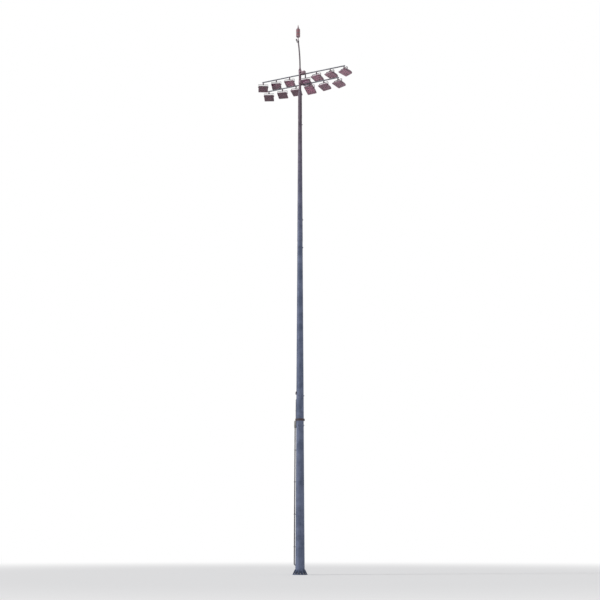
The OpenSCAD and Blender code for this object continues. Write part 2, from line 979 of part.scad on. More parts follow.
// Hollow lens with a bulging middle
module lens() {
    belly = 5;
    color(red)
        rotate_extrude()
            polygon([
                [beacon_r - belly, 0], [beacon_r, lens_h * 0.25], [beacon_r, lens_h * 0.75],
                [beacon_r - belly, lens_h], [beacon_r - belly - lens_wall, lens_h],
                [beacon_r - lens_wall, lens_h * 0.75], [beacon_r - lens_wall, lens_h * 0.25],
                [beacon_r - belly - lens_wall, 0]
            ]);
}

module beacon_lenses() {
    on_beacon() {
        translate([0, 0, lens_z])
            lens();
        translate([0, 0, lens_2_z])
            lens();
    }
}

// Conical cap with a tapered finial
module beacon_cap() {
    rim_h = 30;
    tip_r = 12;
    spike_r = 56;
    color(dark)
        on_beacon()
            translate([0, 0, lens_top])
                rotate_extrude()
                    polygon([
                        [0, 0], [beacon_r, 0], [beacon_r, rim_h], [beacon_r * 0.88, cap_h * 0.45],
                        [beacon_r * 0.62, cap_h * 0.85], [spike_r, cap_h],
                        [tip_r, cap_h + finial_h], [0, cap_h + finial_h]
                    ]);
}

base_plate();
mast_section_1();
mast_section(1);  // mast_section_2
mast_section(2);  // mast_section_3
mast_section_4();
access_door();
joint_collar();
cable_hood();
riser_pipe();
riser_box();
head_tube();
head_box();
arm_bracket(upper_arm_z);  // upper_bracket
arm_bracket(lower_arm_z);  // lower_bracket
crossarm(upper_arm_z, [for (i = [0:upper_count - 1]) upper_x(i)], true);  // upper_crossarm
crossarm(lower_arm_z, [for (i = [0:lower_count - 1]) lower_x(i)], false);  // lower_crossarm
beacon_pole();
sensor_arm();
beacon_frame();
beacon_lenses();
beacon_cap();
for (i = [0:upper_count - 1]) {
    stirrup(i, true);
    housing(i, true);
    glass(i, true);
}
for (i = [0:lower_count - 1]) {
    stirrup(i, false);
    housing(i, false);
    glass(i, false);
}
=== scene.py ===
import json
import math

import bmesh
import bpy
from mathutils import Matrix, Vector

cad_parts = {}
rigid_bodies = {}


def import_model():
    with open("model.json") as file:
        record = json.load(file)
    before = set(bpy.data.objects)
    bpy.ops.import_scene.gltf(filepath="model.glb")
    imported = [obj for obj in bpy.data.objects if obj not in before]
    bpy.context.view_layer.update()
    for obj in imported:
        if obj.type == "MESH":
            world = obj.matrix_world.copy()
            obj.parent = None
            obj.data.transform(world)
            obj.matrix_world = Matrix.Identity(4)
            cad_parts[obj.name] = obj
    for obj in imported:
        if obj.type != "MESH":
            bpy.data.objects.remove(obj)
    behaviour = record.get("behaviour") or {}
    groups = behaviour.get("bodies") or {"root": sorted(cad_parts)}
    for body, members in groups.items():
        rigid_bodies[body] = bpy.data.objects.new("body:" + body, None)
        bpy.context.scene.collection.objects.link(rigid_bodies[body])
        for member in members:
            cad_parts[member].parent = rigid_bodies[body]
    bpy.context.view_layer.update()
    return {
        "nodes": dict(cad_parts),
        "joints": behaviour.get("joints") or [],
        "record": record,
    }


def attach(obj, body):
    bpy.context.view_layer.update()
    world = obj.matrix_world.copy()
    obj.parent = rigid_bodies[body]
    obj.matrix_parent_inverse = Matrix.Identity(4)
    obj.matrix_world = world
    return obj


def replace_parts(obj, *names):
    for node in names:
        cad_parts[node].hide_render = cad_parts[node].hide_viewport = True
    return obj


for leftover in list(bpy.data.objects):
    bpy.data.objects.remove(leftover)
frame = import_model()

TAU = 2 * math.pi
SHARP_ANGLE = math.radians(38)
JOINTS = {joint["name"]: joint for joint in frame["joints"]}
LAMPS = [name[len("tilt_"):] for name in JOINTS if name.startswith("tilt_")]

# Material slots that many pieces share
ZINC = "galvanised_steel"
DARK = "dark_steel"
CASTING = "lamp_casting"

# Mast, in metres
TAPER = 167.9 / 28850
FOOT_R = 0.265
STEP_R = 0.0063
PLATE_T = 0.04
JOINT_Z = (8.7, 19.3, 27.1)
MAST_TOP = 28.85
SPINE_R = 0.076
SPINE_TOP = 30.31
CAP_T = 0.012
# Section, turn, lower end and upper end of each lengthwise weld
SEAMS = ((0, 322, 0.31, 8.56), (1, 246, 8.705, 19.99), (2, 12, 19.305, 27.79),
         (3, 200, 27.105, MAST_TOP - 0.005))

# Base
BOLT_CIRCLE_R = 0.355
BOLT_COUNT = 12
GUSSET_TOP = 0.30
GUSSET_HALF = 0.007
GUSSET_OUT = 0.406
EARTH_TURN = 62
EARTH_Z = 0.48
DOOR_Z = 1.0
DOOR_FRAME = (0.278, 0.688, 0.094)
LOCK_DROP = 0.2232
LOCK_OUT = 0.0213

# Collar and hood
COLLAR_DROP = 0.13
COLLAR_T = 0.008
EAR_TURN = 24
EAR_HALF = 0.016
HOOD_TURN = 214
HOOD_Z = 10.1

# Riser, in its own leaning frame beside the mast's left side
RISER_AXIS = 0.095
RISER_BEND_Z = 0.62
RISER_BEND_R = 0.105
COUPLING_Z = (2.4, 5.9)
BOX_Z = 8.19
BOX_TOP = 8.59
BOX_X = (-0.037, 0.083)
BOX_HALF = 0.06
BOX_LID_Y = -BOX_HALF + 0.024
CONDUIT_X = 0.055
CONDUIT_TOP = 9.78
CONDUIT_BEND_R = 0.055
STRAP_Z = (1.5, 3.3, 5.1, 6.9)
CONDUIT_STRAP_Z = 9.15

# Junction box on the head tube
JUNCTION_X = (0.14, 0.36)
JUNCTION_HALF = 0.1
JUNCTION_Z = (29.98, 30.18)
JUNCTION_LID_Y = -JUNCTION_HALF + 0.03

# Crossarms
ARM_Y = 0.42
ARM_R = 0.038
ARM_Z = {"upper": 30.2, "lower": 29.51}
ARM_OVERHANG = 0.06
POST_HALF = 0.028
LUG_TOP = 0.145
EXTRA_DROP = {"upper_4": 0.13}
BOLT_END = 0.1936
BRACKET_HALF = 0.09
CHEEK_X = 0.066
CHEEK_HALF = 0.006
CLAMP_R = 0.0903

# Floodlight, about its pivot: x across, y to the rear, z up from the pivot
TILT = 12
STEEP_TILT = {"lower_4": 28}
LAMP_LOW = -0.095
LAMP_TOP = 0.085
RIM_TOP = -0.05
SHOULDER_Z = 0.059
REAR_KNEE_Z = 0.0166
FRONT_Y = -0.215
FRONT_TOP = -0.0071
REAR_Y = 0.415
REAR_TOP = 0.289
HALF_W = 0.3
BOSS_OUT = 0.3117
STIRRUP_OUT = 0.32
GLASS_INSET = 0.0183
BEZEL = 0.026
FIN_COUNT = 7
FIN_PITCH = 0.43 / 6

# Beacon and its pole
POLE_ARC = 1.85
POLE_LEAN = math.radians(8)
POLE_BEND_R = POLE_ARC / POLE_LEAN
SOCKET_R = 0.0538
SOCKET_TOP = 30.442
BEACON_X = -POLE_BEND_R * (1 - math.cos(POLE_LEAN))
BEACON_Z = SOCKET_TOP + POLE_BEND_R * math.sin(POLE_LEAN) + 0.012
BEACON_R = 0.125
LENS_Z = (0.32, 0.545)
LENS_H = 0.185
LENS_TOP = 0.73
CAP_H = 0.13
SENSOR_X = -0.0995
SENSOR_TOP = 0.27


def srgb(colour, level=1.0):
    """Scene colour of an 8-bit display colour, darker or paler by the level."""
    def scene(value):
        value = min(255, level * value) / 255
        return value / 12.92 if value <= 0.04045 else ((value + 0.055) / 1.055) ** 2.4
    return tuple(scene(value) for value in colour) + (1,)


def dimmed(colour, share):
    return tuple(share * part for part in colour[:3]) + (1,)


def at(x=0.0, y=0.0, z=0.0):
    return Matrix.Translation((x, y, z))


def turn(degrees, axis="Z"):
    return Matrix.Rotation(math.radians(degrees), 4, axis)


def outward(degrees, radius, z):
    """Frame on a round surface, its Z axis straight out."""
    return turn(degrees) @ at(x=radius, z=z) @ turn(90, "Y")


def polar(radius, angle):
    return (radius * math.cos(angle), radius * math.sin(angle))


def mast_r(section, z):
    return FOOT_R + section * STEP_R - TAPER * z


# Mesh helpers

def skin(bm, rings, loop=False):
    """Joins rings of equally many points, closed by end faces or round in a loop."""
    rows = [[bm.verts.new(point) for point in ring] for ring in rings]
    count = len(rows[0])
    pairs = list(zip(rows, rows[1:])) + ([(rows[-1], rows[0])] if loop else [])
    for low, high in pairs:
        for i in range(count):
            j = (i + 1) % count
            bm.faces.new((low[i], low[j], high[j], high[i]))
    if not loop:
        bm.faces.new(list(reversed(rows[0])))
        bm.faces.new(rows[-1])
    return rows


def ring_path(radius, z, count=72, place=Matrix()):
    return [place @ Vector((*polar(radius, TAU * i / count), z)) for i in range(count)]


def lathe(bm, profile, place=Matrix(), sides=32, loop=False):
    """Turns (radius, height) points round the place's Z axis."""
    skin(bm, [ring_path(radius, height, sides, place) for radius, height in profile], loop)


def mirrored(half, z=0.0):
    """Profile whose points lie below z by their heights, and above it the other way round."""
    return [(r, z - high) for r, high in half] + [(r, z + high) for r, high in reversed(half)]


def prism(bm, outline, z0, z1, place=Matrix(), bevel=0.0):
    """Extrudes an outline of (x, y) points, with its edges rounded by bevel."""
    rows = skin(bm, [[place @ Vector((x, y, z)) for x, y in outline] for z in (z0, z1)])
    if bevel:
        edges = {edge for row in rows for vert in row for edge in vert.link_edges}
        bmesh.ops.bevel(bm, geom=list(edges), offset=bevel, segments=2, profile=0.5,
                        affect="EDGES")


def block(bm, low, high, place=Matrix(), bevel=0.0):
    outline = [(low[0], low[1]), (high[0], low[1]), (high[0], high[1]), (low[0], high[1])]
    prism(bm, outline, low[2], high[2], place, bevel)


def sweep(bm, path, radius, sides=8, loop=False):
    """Tube along a path. radius is one number, or one for each point."""
    points = [Vector(point) for point in path]
    count = len(points)
    radii = radius if isinstance(radius, list) else [radius] * count
    rings = []
    side = None
    for i, point in enumerate(points):
        before = points[i - 1] if i or loop else point
        after = points[(i + 1) % count] if i < count - 1 or loop else point
        ahead = (after - before).normalized()
        side = ahead.orthogonal() if side is None else side - ahead * side.dot(ahead)
        side.normalize()
        up = ahead.cross(side)
        turns = [polar(radii[i], TAU * k / sides) for k in range(sides)]
        rings.append([point + x * side + y * up for x, y in turns])
    skin(bm, rings, loop)


def walk(path, step, loop=False):
    """Points about one step apart along a path of straight stretches."""
    points = [Vector(point) for point in path]
    if loop:
        points.append(points[0])
    steps = []
    for start, end in zip(points, points[1:]):
        count = max(1, round((end - start).length / step))
        steps += [start.lerp(end, i / count) for i in range(count)]
    return steps if loop else steps + [points[-1]]


def bead(bm, path, size=0.004, loop=False):
    """Weld bead with the ripples that a torch leaves."""
    points = walk(path, size * 1.4, loop)
    ripples = [size * (1 + 0.13 * math.sin(2.1 * i)) for i in range(len(points))]
    sweep(bm, points, ripples, 6, loop)


def arc(cx, cy, radius, start, end, count):
    angles = [math.radians(start + (end - start) * i / count) for i in range(count + 1)]
    return [(cx + radius * math.cos(a), cy + radius * math.sin(a)) for a in angles]


def round_rect(x0, x1, y0, y1, radius, count=5):
    """Outline with round corners, anticlockwise."""
    return (
        arc(x1 - radius, y1 - radius, radius, 0, 90, count)
        + arc(x0 + radius, y1 - radius, radius, 90, 180, count)
        + arc(x0 + radius, y0 + radius, radius, 180, 270, count)
        + arc(x1 - radius, y0 + radius, radius, 270, 360, count)
    )


def hex_head(bm, radius, height, place=Matrix()):
    """Bolt head or nut with chamfered corners, up from the place along its Z axis."""
    sides = 24
    corner = TAU / 6
    rings = []
    for z, limit in ((0, 0.94), (0.1, 1), (0.88, 1), (1, 0.93)):
        ring = []
        for i in range(sides):
            angle = TAU * i / sides
            flat = math.cos(corner / 2) / math.cos(angle % corner - corner / 2)
            ring.append(place @ Vector((*polar(radius * min(flat, limit), angle), z * height)))
        rings.append(ring)
    skin(bm, rings)


def washer(bm, radius, thick, place=Matrix()):
    edge = thick * 0.3
    profile = [(radius - edge, 0), (radius, edge), (radius, thick - edge), (radius - edge, thick)]
    lathe(bm, profile, place, 24)


def washer_and_head(bm, washer_r, washer_t, head_r, head_h, place):
    washer(bm, washer_r, washer_t, place)
    hex_head(bm, head_r, head_h, place @ at(z=washer_t))


def thread(bm, radius, z0, z1, pitch, place=Matrix()):
    """Threaded end with a chamfered tip."""
    depth = pitch * 0.35
    profile = [(radius - depth, z0)]
    for i in range(max(1, int((z1 - z0) / pitch))):
        profile.append((radius, z0 + (i + 0.5) * pitch))
        profile.append((radius - depth, z0 + (i + 1) * pitch))
    profile.append((radius - 2 * depth, z1))
    lathe(bm, profile, place, 16)


def through_bolt(bm, size, length, place=Matrix()):
    """Bolt along the place's Z axis, its head under zero and its nut past length."""
    plate_r, plate_t, hex_r = size * 0.95, size * 0.16, size * 0.87
    lathe(bm, [(size / 2, 0), (size / 2, length)], place, 16)
    washer(bm, plate_r, plate_t, place @ at(z=-plate_t))
    hex_head(bm, hex_r, size * 0.62, place @ at(z=-size * 0.78))
    washer(bm, plate_r, plate_t, place @ at(z=length))
    hex_head(bm, hex_r, size * 0.8, place @ at(z=length + plate_t))
    thread(bm, size / 2, length + size * 0.9, length + size * 1.3, size * 0.13, place)


def screw(bm, radius, place=Matrix()):
    """Cap screw with a hexagonal socket, its head up from the place along Z."""
    high = radius * 0.9
    lathe(bm, [(radius, -high * 0.4), (radius, high * 0.85), (radius * 0.88, high),
               (radius * 0.55, high), (radius * 0.5, high * 0.35)], place, 24)


def gland(bm, radius, length, place=Matrix()):
    """Cable gland: hexagonal body, dome nut and blanking plug."""
    hex_head(bm, radius * 1.15, length * 0.28, place)
    shares = [(1, 0.28), (1, 0.75), (0.86, 0.9), (0.62, 1), (0.55, 1), (0.5, 0.86)]
    lathe(bm, [(radius * out, length * up) for out, up in shares], place, 24)


def sort_faces(bm):
    """Orders the faces by their corners, as a bevel leaves them in another order each run."""
    bm.verts.index_update()
    ordered = sorted(bm.faces, key=lambda face: sorted(vert.index for vert in face.verts))
    rank = {face: i for i, face in enumerate(ordered)}
    bm.faces.sort(key=lambda face: rank[face])


def new_mesh(name, build):
    bm = bmesh.new()
    build(bm)
    bmesh.ops.recalc_face_normals(bm, faces=bm.faces)
    sort_faces(bm)
    mesh = bpy.data.meshes.new(name)
    bm.to_mesh(mesh)
    bm.free()
    mesh.shade_smooth()
    mesh.set_sharp_from_angle(angle=SHARP_ANGLE)
    return mesh


def add_object(name, data):
    obj = bpy.data.objects.new(name, data)
    bpy.context.scene.collection.objects.link(obj)
    return obj


def add_piece(name, mesh, material, body):
    mesh.materials.append(material)
    obj = add_object(name, mesh)
    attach(obj, body)
    return obj


def make(build, material):
    """One piece of the mast, shaped by build(bm) in the row frame and named after it."""
    name = build.__name__
    return add_piece(name, new_mesh(name, build), material, "mast")


# Materials

def feed(tree, target, value):
    if isinstance(value, bpy.types.NodeSocket):
        tree.links.new(value, target)
    else:
        target.default_value = value


def add_node(tree, kind, inputs=(), **settings):
    """New node with its settings made and its inputs fed by values or by other nodes."""
    node = tree.nodes.new("ShaderNode" + kind)
    for key, value in settings.items():
        setattr(node, key, value)
    for key, value in dict(inputs).items():
        feed(tree, node.inputs[key], value)
    return node


class Graph:
    """A material's nodes, with the object's own coordinates in metres."""

    def __init__(self, name, **values):
        self.material = bpy.data.materials.new(name)
        self.material.use_nodes = True
        self.tree = self.material.node_tree
        self.tree.nodes.clear()
        values = {key.replace("_", " "): value for key, value in values.items()}
        self.shader = self.add("BsdfPrincipled", values)
        self.add("OutputMaterial", {"Surface": self.shader.outputs["BSDF"]})
        coords = self.add("TexCoord")
        self.place = coords.outputs["Object"]
        self.normal = coords.outputs["Normal"]

    def add(self, kind, inputs=(), **settings):
        return add_node(self.tree, kind, inputs, **settings)

    def stretched(self, x, y, z):
        return self.add("Mapping", {"Scale": (x, y, z), "Vector": self.place}).outputs["Vector"]

    def noise(self, scale, detail=4.0, rough=0.55, vector=None):
        inputs = {"Scale": scale, "Detail": detail, "Roughness": rough,
                  "Vector": vector or self.place}
        return self.add("TexNoise", inputs).outputs["Fac"]

    def cells(self, scale, output="Color"):
        return self.add("TexVoronoi", {"Scale": scale, "Vector": self.place}).outputs[output]

    def span(self, value, low, high, to_low=0.0, to_high=1.0):
        inputs = {"Value": value, "From Min": low, "From Max": high, "To Min": to_low,
                  "To Max": to_high}
        return self.add("MapRange", inputs, interpolation_type="SMOOTHSTEP").outputs["Result"]

    def math(self, operation, first, second):
        return self.add("Math", {0: first, 1: second}, operation=operation).outputs["Value"]

    def mix(self, factor, first, second, blend="MIX"):
        """Mixes at the colour sockets of a Mix node: its inputs 6 and 7 and its output 2."""
        inputs = {"Factor": factor, 6: first, 7: second}
        return self.add("Mix", inputs, data_type="RGBA", blend_type=blend).outputs[2]

    def along(self, axis, vector=None):
        """One coordinate of a vector, in metres when it is the place itself."""
        return self.add("SeparateXYZ", {"Vector": vector or self.place}).outputs[axis]

    def colour(self, value):
        feed(self.tree, self.shader.inputs["Base Color"], value)

    def rough(self, value):
        feed(self.tree, self.shader.inputs["Roughness"], value)

    def bump(self, height, distance, strength=1.0, onto=None):
        inputs = {"Strength": strength, "Distance": distance, "Height": height}
        if onto:
            inputs["Normal"] = onto
        normal = self.add("Bump", inputs).outputs["Normal"]
        feed(self.tree, self.shader.inputs["Normal"], normal)
        return normal


def galvanised(name, light, dull, metallic=0.3, streaks=0.25, glare_tint=None, where=None):
    """Weathered hot-dip zinc: spangle, dull patches, rain streaks, and a painted glare tint, a pink
    cast standing in for the sun's glare, where(graph) is 1.
    """
    light, dull = srgb(light), srgb(dull)
    graph = Graph(name, Metallic=metallic)
    patches = graph.span(graph.noise(1.7, 6, 0.6), 0.38, 0.64)
    drips = graph.noise(1.0, 5, 0.6, graph.stretched(22, 22, 0.7))
    runs = graph.span(drips, 0.5, 0.72, 0, streaks)
    spangle = graph.mix(0.07, (0.5, 0.5, 0.5, 1), graph.cells(95))
    shade = graph.mix(runs, graph.mix(patches, light, dull), dimmed(dull, 0.72))
    # Painted glare tint: a pink cast mixed in where(graph) is 1
    if glare_tint:
        glare_tint = srgb(glare_tint)
        shade = graph.mix(where(graph), shade, graph.mix(patches, glare_tint, dimmed(glare_tint, 0.7)))
    graph.colour(graph.mix(0.5, shade, spangle, "OVERLAY"))
    graph.rough(graph.span(graph.noise(6, 5), 0.3, 0.7, 0.46, 0.66))
    fine = graph.bump(graph.noise(420, 3), 0.0003, 0.35)
    graph.bump(graph.cells(95, "Distance"), 0.0004, 0.25, fine)
    return graph.material


def up_the_mast(graph):
    """Mask of the painted glare tint on the mast: 0 on the lower mast, rising to 1 at the head."""
    return graph.span(graph.along("Z"), 17, 29)


def across_head(graph, start=-2.4, end=-0.7):
    """Mask of the painted glare light on the floodlights: 0 on the left of the head, rising to 1
    between the start and the end.
    """
    return graph.span(graph.along("X"), start, end)


def off_tube(z):
    """Mask of the painted glare tint on a crossarm: 1 on what stands off its tube, posts and lug
    plates.
    """
    def reach(graph):
        side = graph.math("SUBTRACT", graph.along("Y"), ARM_Y)
        drop = graph.math("SUBTRACT", graph.along("Z"), z)
        squares = [graph.math("MULTIPLY", part, part) for part in (side, drop)]
        near, far = (ARM_R + 0.002) ** 2, (ARM_R + 0.008) ** 2
        return graph.span(graph.math("ADD", *squares), near, far)
    return reach


def plain(graph, pair, tone, gloss, grain):
    """Two colours and a gloss, uneven by (scale, detail, low, high), with a fine grain."""
    scale, detail, low, high = tone
    graph.colour(graph.mix(graph.span(graph.noise(scale, detail), low, high), *map(srgb, pair)))
    scale, detail, low, high = gloss
    graph.rough(graph.span(graph.noise(scale, detail), 0.3, 0.7, low, high))
    scale, distance, strength = grain
    graph.bump(graph.noise(scale, 2), distance, strength)
    return graph.material


def fastener(name, *pair):
    """Bright zinc of bolts, nuts and weld beads."""
    return plain(Graph(name, Metallic=0.7), pair, (60, 5, 0.4, 0.65), (120, 3, 0.34, 0.55),
                 (900, 0.0002, 0.4))


def old_paint(name, paint, chalk, rust, amount):
    """Dark weathered paint that has chalked, with rust coming through."""
    graph = Graph(name, Metallic=0.0)
    worn = graph.span(graph.noise(9, 8, 0.7), 0.42, 0.7)
    spots = graph.span(graph.noise(34, 8, 0.75), 0.62 - amount, 0.7 - amount)
    shade = graph.mix(worn, srgb(paint), srgb(chalk))
    graph.colour(graph.mix(graph.math("MULTIPLY", spots, 0.8), shade, srgb(rust)))
    graph.rough(graph.span(worn, 0, 1, 0.55, 0.8))
    graph.bump(graph.noise(160, 6, 0.7), 0.0006, 0.5)
    return graph.material


def casting(name, base, worn, dust, faded_and_glare_lit=None):
    """Coated casting: orange-peel skin, wear, dust on what faces up, and painted glare light that
    turns it paler and pinker across the head.
    """
    graph = Graph(name, Metallic=0.15)
    tone = graph.span(graph.noise(5, 5, 0.6), 0.35, 0.65)
    shade = graph.mix(tone, srgb(base), srgb(worn))
    # Painted glare light: the coat turns paler and pinker towards the right of the head
    if faded_and_glare_lit:
        glare_share = graph.math("MULTIPLY", across_head(graph), graph.span(tone, 0, 1, 0.95, 0.75))
        shade = graph.mix(glare_share, shade, srgb(faded_and_glare_lit))
    rain = graph.span(graph.noise(1.0, 5, 0.6, graph.stretched(30, 30, 3)), 0.5, 0.75, 0, 0.35)
    shade = graph.mix(rain, shade, dimmed(srgb(base), 0.7))
    facing_up = graph.span(graph.along("Z", graph.normal), 0.35, 0.95)
    uneven = graph.span(graph.noise(14, 8, 0.7), 0.3, 0.7, 0.35, 0.9)
    settled = graph.math("MULTIPLY", facing_up, uneven)
    graph.colour(graph.mix(settled, shade, srgb(dust)))
    satin = graph.span(graph.noise(40, 4), 0.3, 0.7, 0.42, 0.55)
    graph.rough(graph.math("ADD", satin, graph.math("MULTIPLY", settled, 0.25)))
    grain = graph.bump(graph.noise(330, 3), 0.0005, 0.35)
    graph.bump(graph.noise(35, 4), 0.001, 0.15, grain)
    return graph.material


def plastic(name, base, faded_and_glare_lit, rough):
    """Moulded plastic or rubber with a fine matt skin."""
    return plain(Graph(name), (base, faded_and_glare_lit), (25, 5, 0.35, 0.7),
                 (70, 3, rough - 0.07, rough + 0.1), (700, 0.0002, 0.4))


def tinted(graph, patches, left, right, painted_light):
    """Colour that turns from the left pair to the right pair across the head: painted glare light,
    paler and pinker on the right, painted paler or darker by the level.
    """
    start, end, level = painted_light
    pairs = [graph.mix(patches, *(srgb(colour, level) for colour in pair))
             for pair in (left, right)]
    graph.colour(graph.mix(across_head(graph, start, end), *pairs))


def reflector_sheet(kind, painted_light):
    """Hammered anodised aluminium, dulled by age; its pink cast, paler towards the right of the
    head, is painted glare light.
    """
    graph = Graph(kind + "_reflector", Metallic=1.0)
    haze = graph.span(graph.noise(7, 5), 0.35, 0.7)
    # Painted glare: the left pair is the greyer pink away from the glare, the right pair the paler
    # pink in it
    left = ((120, 80, 98), (96, 62, 78))
    right = ((194, 140, 165), (164, 116, 140))
    tinted(graph, haze, left, right, painted_light)
    graph.rough(graph.span(haze, 0, 1, 0.45, 0.6))
    graph.bump(graph.cells(85, "Distance"), 0.0012, 0.3)
    return graph.material


def lamp_glass(kind, painted_light):
    """Toughened glass under an uneven film of dust, with a painted glare tint: pink, paler towards
    the right of the head.
    """
    graph = Graph(kind + "_lamp_glass", Metallic=0.0, IOR=1.5, Specular_IOR_Level=0.3,
                  Transmission_Weight=0.82)
    film = graph.span(graph.noise(4, 8, 0.7), 0.35, 0.75)
    # Painted glare: the left pair is the greyer pink away from the glare, the right pair the paler
    # pink in it
    left = ((184, 126, 152), (166, 110, 136))
    right = ((248, 200, 222), (234, 182, 207))
    tinted(graph, film, left, right, painted_light)
    graph.rough(graph.span(film, 0, 1, 0.04, 0.16))
    graph.bump(graph.noise(3, 2), 0.0008, 0.08)
    return graph.material


def lens_glass(name, clear, deep, through=0.72):
    """Moulded coloured lens."""
    return plain(Graph(name, IOR=1.49, Transmission_Weight=through), (clear, deep),
                 (20, 6, 0.35, 0.7), (30, 5, 0.08, 0.2), (220, 0.0002, 0.3))


# Mast zinc: blue-grey painted darker than bare zinc, the shade of the backlit mast painted in, and
# pink towards the head, the painted glare tint
MAST_ZINC = galvanised("mast_zinc", (98, 107, 132), (76, 86, 110), 0.35, 0.5,
                       (96, 82, 94), up_the_mast)
# Crossarm zinc: the posts and lug plates under each tube are painted a darker pink, the glare tint
# of the head
ARM_ZINC = {row: galvanised(row + "_arm_zinc", (134, 136, 143), (106, 108, 116), 0.35, 0.25,
                            (96, 76, 86), off_tube(z)) for row, z in ARM_Z.items()}
# Zinc at the head: its pink cast is painted glare light round the head; the brackets are also
# painted paler, against the shade under the floodlights
STIRRUP_ZINC = galvanised("stirrup_zinc", (112, 98, 106), (90, 76, 84))
POLE_ZINC = galvanised("pole_zinc", (106, 96, 102), (84, 75, 81))
BRACKET_ZINC = galvanised("bracket_zinc", (142, 110, 124), (120, 92, 104))
HEAD_ZINC = galvanised("head_zinc", (110, 86, 98), (90, 69, 80))
RISER_ZINC = galvanised("riser_zinc", (110, 108, 112), (84, 80, 86), streaks=0.35)
BRIGHT_ZINC = fastener("bright_zinc", (150, 152, 158), (112, 112, 120))
WELD = fastener("weld_bead", (132, 138, 152), (100, 105, 120))
# Dark paint of the collar band and the cable hood: partly their own weathered paint, partly painted
# shade standing in for the dark at the first slip joint
BAND_PAINT = old_paint("band_paint", (46, 36, 42), (70, 58, 62), (84, 54, 42), 0.1)
HEAD_PAINT = old_paint("head_paint", (62, 58, 64), (92, 86, 92), (92, 66, 56), 0.0)
BOX_COAT = casting("box_coat", (128, 127, 124), (112, 111, 108), (140, 136, 128))
# The pink cast of the junction box, floodlight and beacon coats is painted glare light round the
# head; the floodlight coat's last colour is the paler glare-lit pink towards the right
JUNCTION_COAT = casting("junction_coat", (128, 101, 111), (108, 84, 93), (142, 120, 124))
LAMP_COAT = casting("lamp_coat", (104, 84, 94), (86, 68, 77), (134, 118, 122), (140, 108, 122))
BEACON_COAT = casting("beacon_coat", (142, 118, 126), (122, 99, 107), (154, 136, 140))
RUBBER = plastic("rubber_seal", (34, 33, 35), (56, 54, 56), 0.62)
BLACK_PLASTIC = plastic("black_plastic", (40, 39, 42), (62, 60, 64), 0.45)
MASTIC = plastic("mastic", (70, 70, 74), (92, 92, 96), 0.7)
# Painted light on each kind of floodlight: where along the crossarm the painted glare turns it from
# grey to pink, and how pale it is painted, the lower row darker against the floor light that
# reaches it unblocked and the middle one of the upper row paler against the shade that the
# floodlights below cast on it
LAMP_PAINTED_LIGHT = {"upper": (-2.8, -0.7, 1.0), "middle": (-1.4, -0.5, 1.12),
              "lower": (-1.9, 3.2, 0.91), "steep": (-1.4, -0.5, 1.0)}
REFLECTOR = {kind: reflector_sheet(kind, painted_light) for kind, painted_light in LAMP_PAINTED_LIGHT.items()}
LAMP_GLASS = {kind: lamp_glass(kind, painted_light) for kind, painted_light in LAMP_PAINTED_LIGHT.items()}
LENS_ROSE = lens_glass("red_lens", (194, 134, 145), (168, 110, 121), 0.4)
QUARTZ = lens_glass("quartz", (232, 234, 236), (210, 212, 214))
CERAMIC = plain(Graph("lamp_ceramic"), ((214, 208, 198), (168, 156, 140)), (60, 4, 0.45, 0.7),
                (90, 3, 0.3, 0.45), (500, 0.0001, 0.3))


# Foot of the mast

def anchor_bolts(bm):
    """Anchor bolts with a washer, a nut and a lock nut each."""
    bolt_r, washer_r, nut_r = 0.018, 0.034, 0.0318
    thick, nut_h, lock_h, end = 0.006, 0.029, 0.018, 0.032
    top = thick + nut_h + lock_h
    for i in range(BOLT_COUNT):
        place = turn(i * 360 / BOLT_COUNT) @ at(x=BOLT_CIRCLE_R, z=PLATE_T) @ turn(i * 17)
        lathe(bm, [(bolt_r, -PLATE_T + 0.001), (bolt_r, top)], place, 24)
        washer_and_head(bm, washer_r, thick, nut_r, nut_h, place)
        hex_head(bm, nut_r, lock_h, place @ at(z=thick + nut_h) @ turn(23))
        thread(bm, bolt_r, top - 0.001, top + end, 0.004, place)


def foot_welds(bm):
    size = 0.0045
    bead(bm, ring_path(mast_r(0, PLATE_T) + 0.002, PLATE_T + 0.002), 0.006, True)
    for i in range(BOLT_COUNT):
        place = turn((i + 0.5) * 360 / BOLT_COUNT)
        for side in (-1, 1):
            y = side * (GUSSET_HALF + 0.001)
            upright = [(mast_r(0, z) + 0.001, y, z) for z in (PLATE_T + 0.01, GUSSET_TOP - 0.004)]
            level = [(x, y, PLATE_T + 0.001) for x in (mast_r(0, PLATE_T) + 0.012, GUSSET_OUT)]
            for path in (upright, level):
                bead(bm, [place @ Vector(point) for point in path], size)


def earth_boss(bm):
    """Welded earthing boss with its bolt and washer, low on the mast."""
    boss_r, boss_h = 0.015, 0.028
    place = outward(EARTH_TURN, mast_r(0, EARTH_Z) - 0.004, EARTH_Z)
    lathe(bm, [(boss_r + 0.002, 0), (boss_r, 0.007), (boss_r, boss_h - 0.001),
               (boss_r - 0.0012, boss_h)], place, 24)
    washer_and_head(bm, 0.0155, 0.0025, 0.0105, 0.008, place @ at(z=boss_h))


def door_weld(bm):
    """Weld round the raised frame of the access opening, on the mast's rear."""
    width, height, corner = DOOR_FRAME
    outline = round_rect(-width / 2, width / 2, -height / 2, height / 2, corner, 8)
    path = []
    for x, up in outline:
        z = DOOR_Z + up
        path.append(Vector((x, math.sqrt((mast_r(0, z) + 0.001) ** 2 - x * x), z)))
    bead(bm, path, 0.004, True)


def door_locks(bm):
    """Ring and three-sided key of each door lock."""
    key = [polar(0.0075, TAU * i / 3) for i in range(3)]
    for side in (-1, 1):
        y = mast_r(0, DOOR_Z) + LOCK_OUT
        place = at(y=y, z=DOOR_Z + side * LOCK_DROP) @ turn(-90, "X")
        lathe(bm, [(0.0185, 0), (0.0185, 0.004), (0.017, 0.0055), (0.0115, 0.0055),
                   (0.0105, 0.0045), (0.0105, 0.0012)], place, 32)
        prism(bm, key, 0.001, 0.0045, place, 0.0006)


# Mast

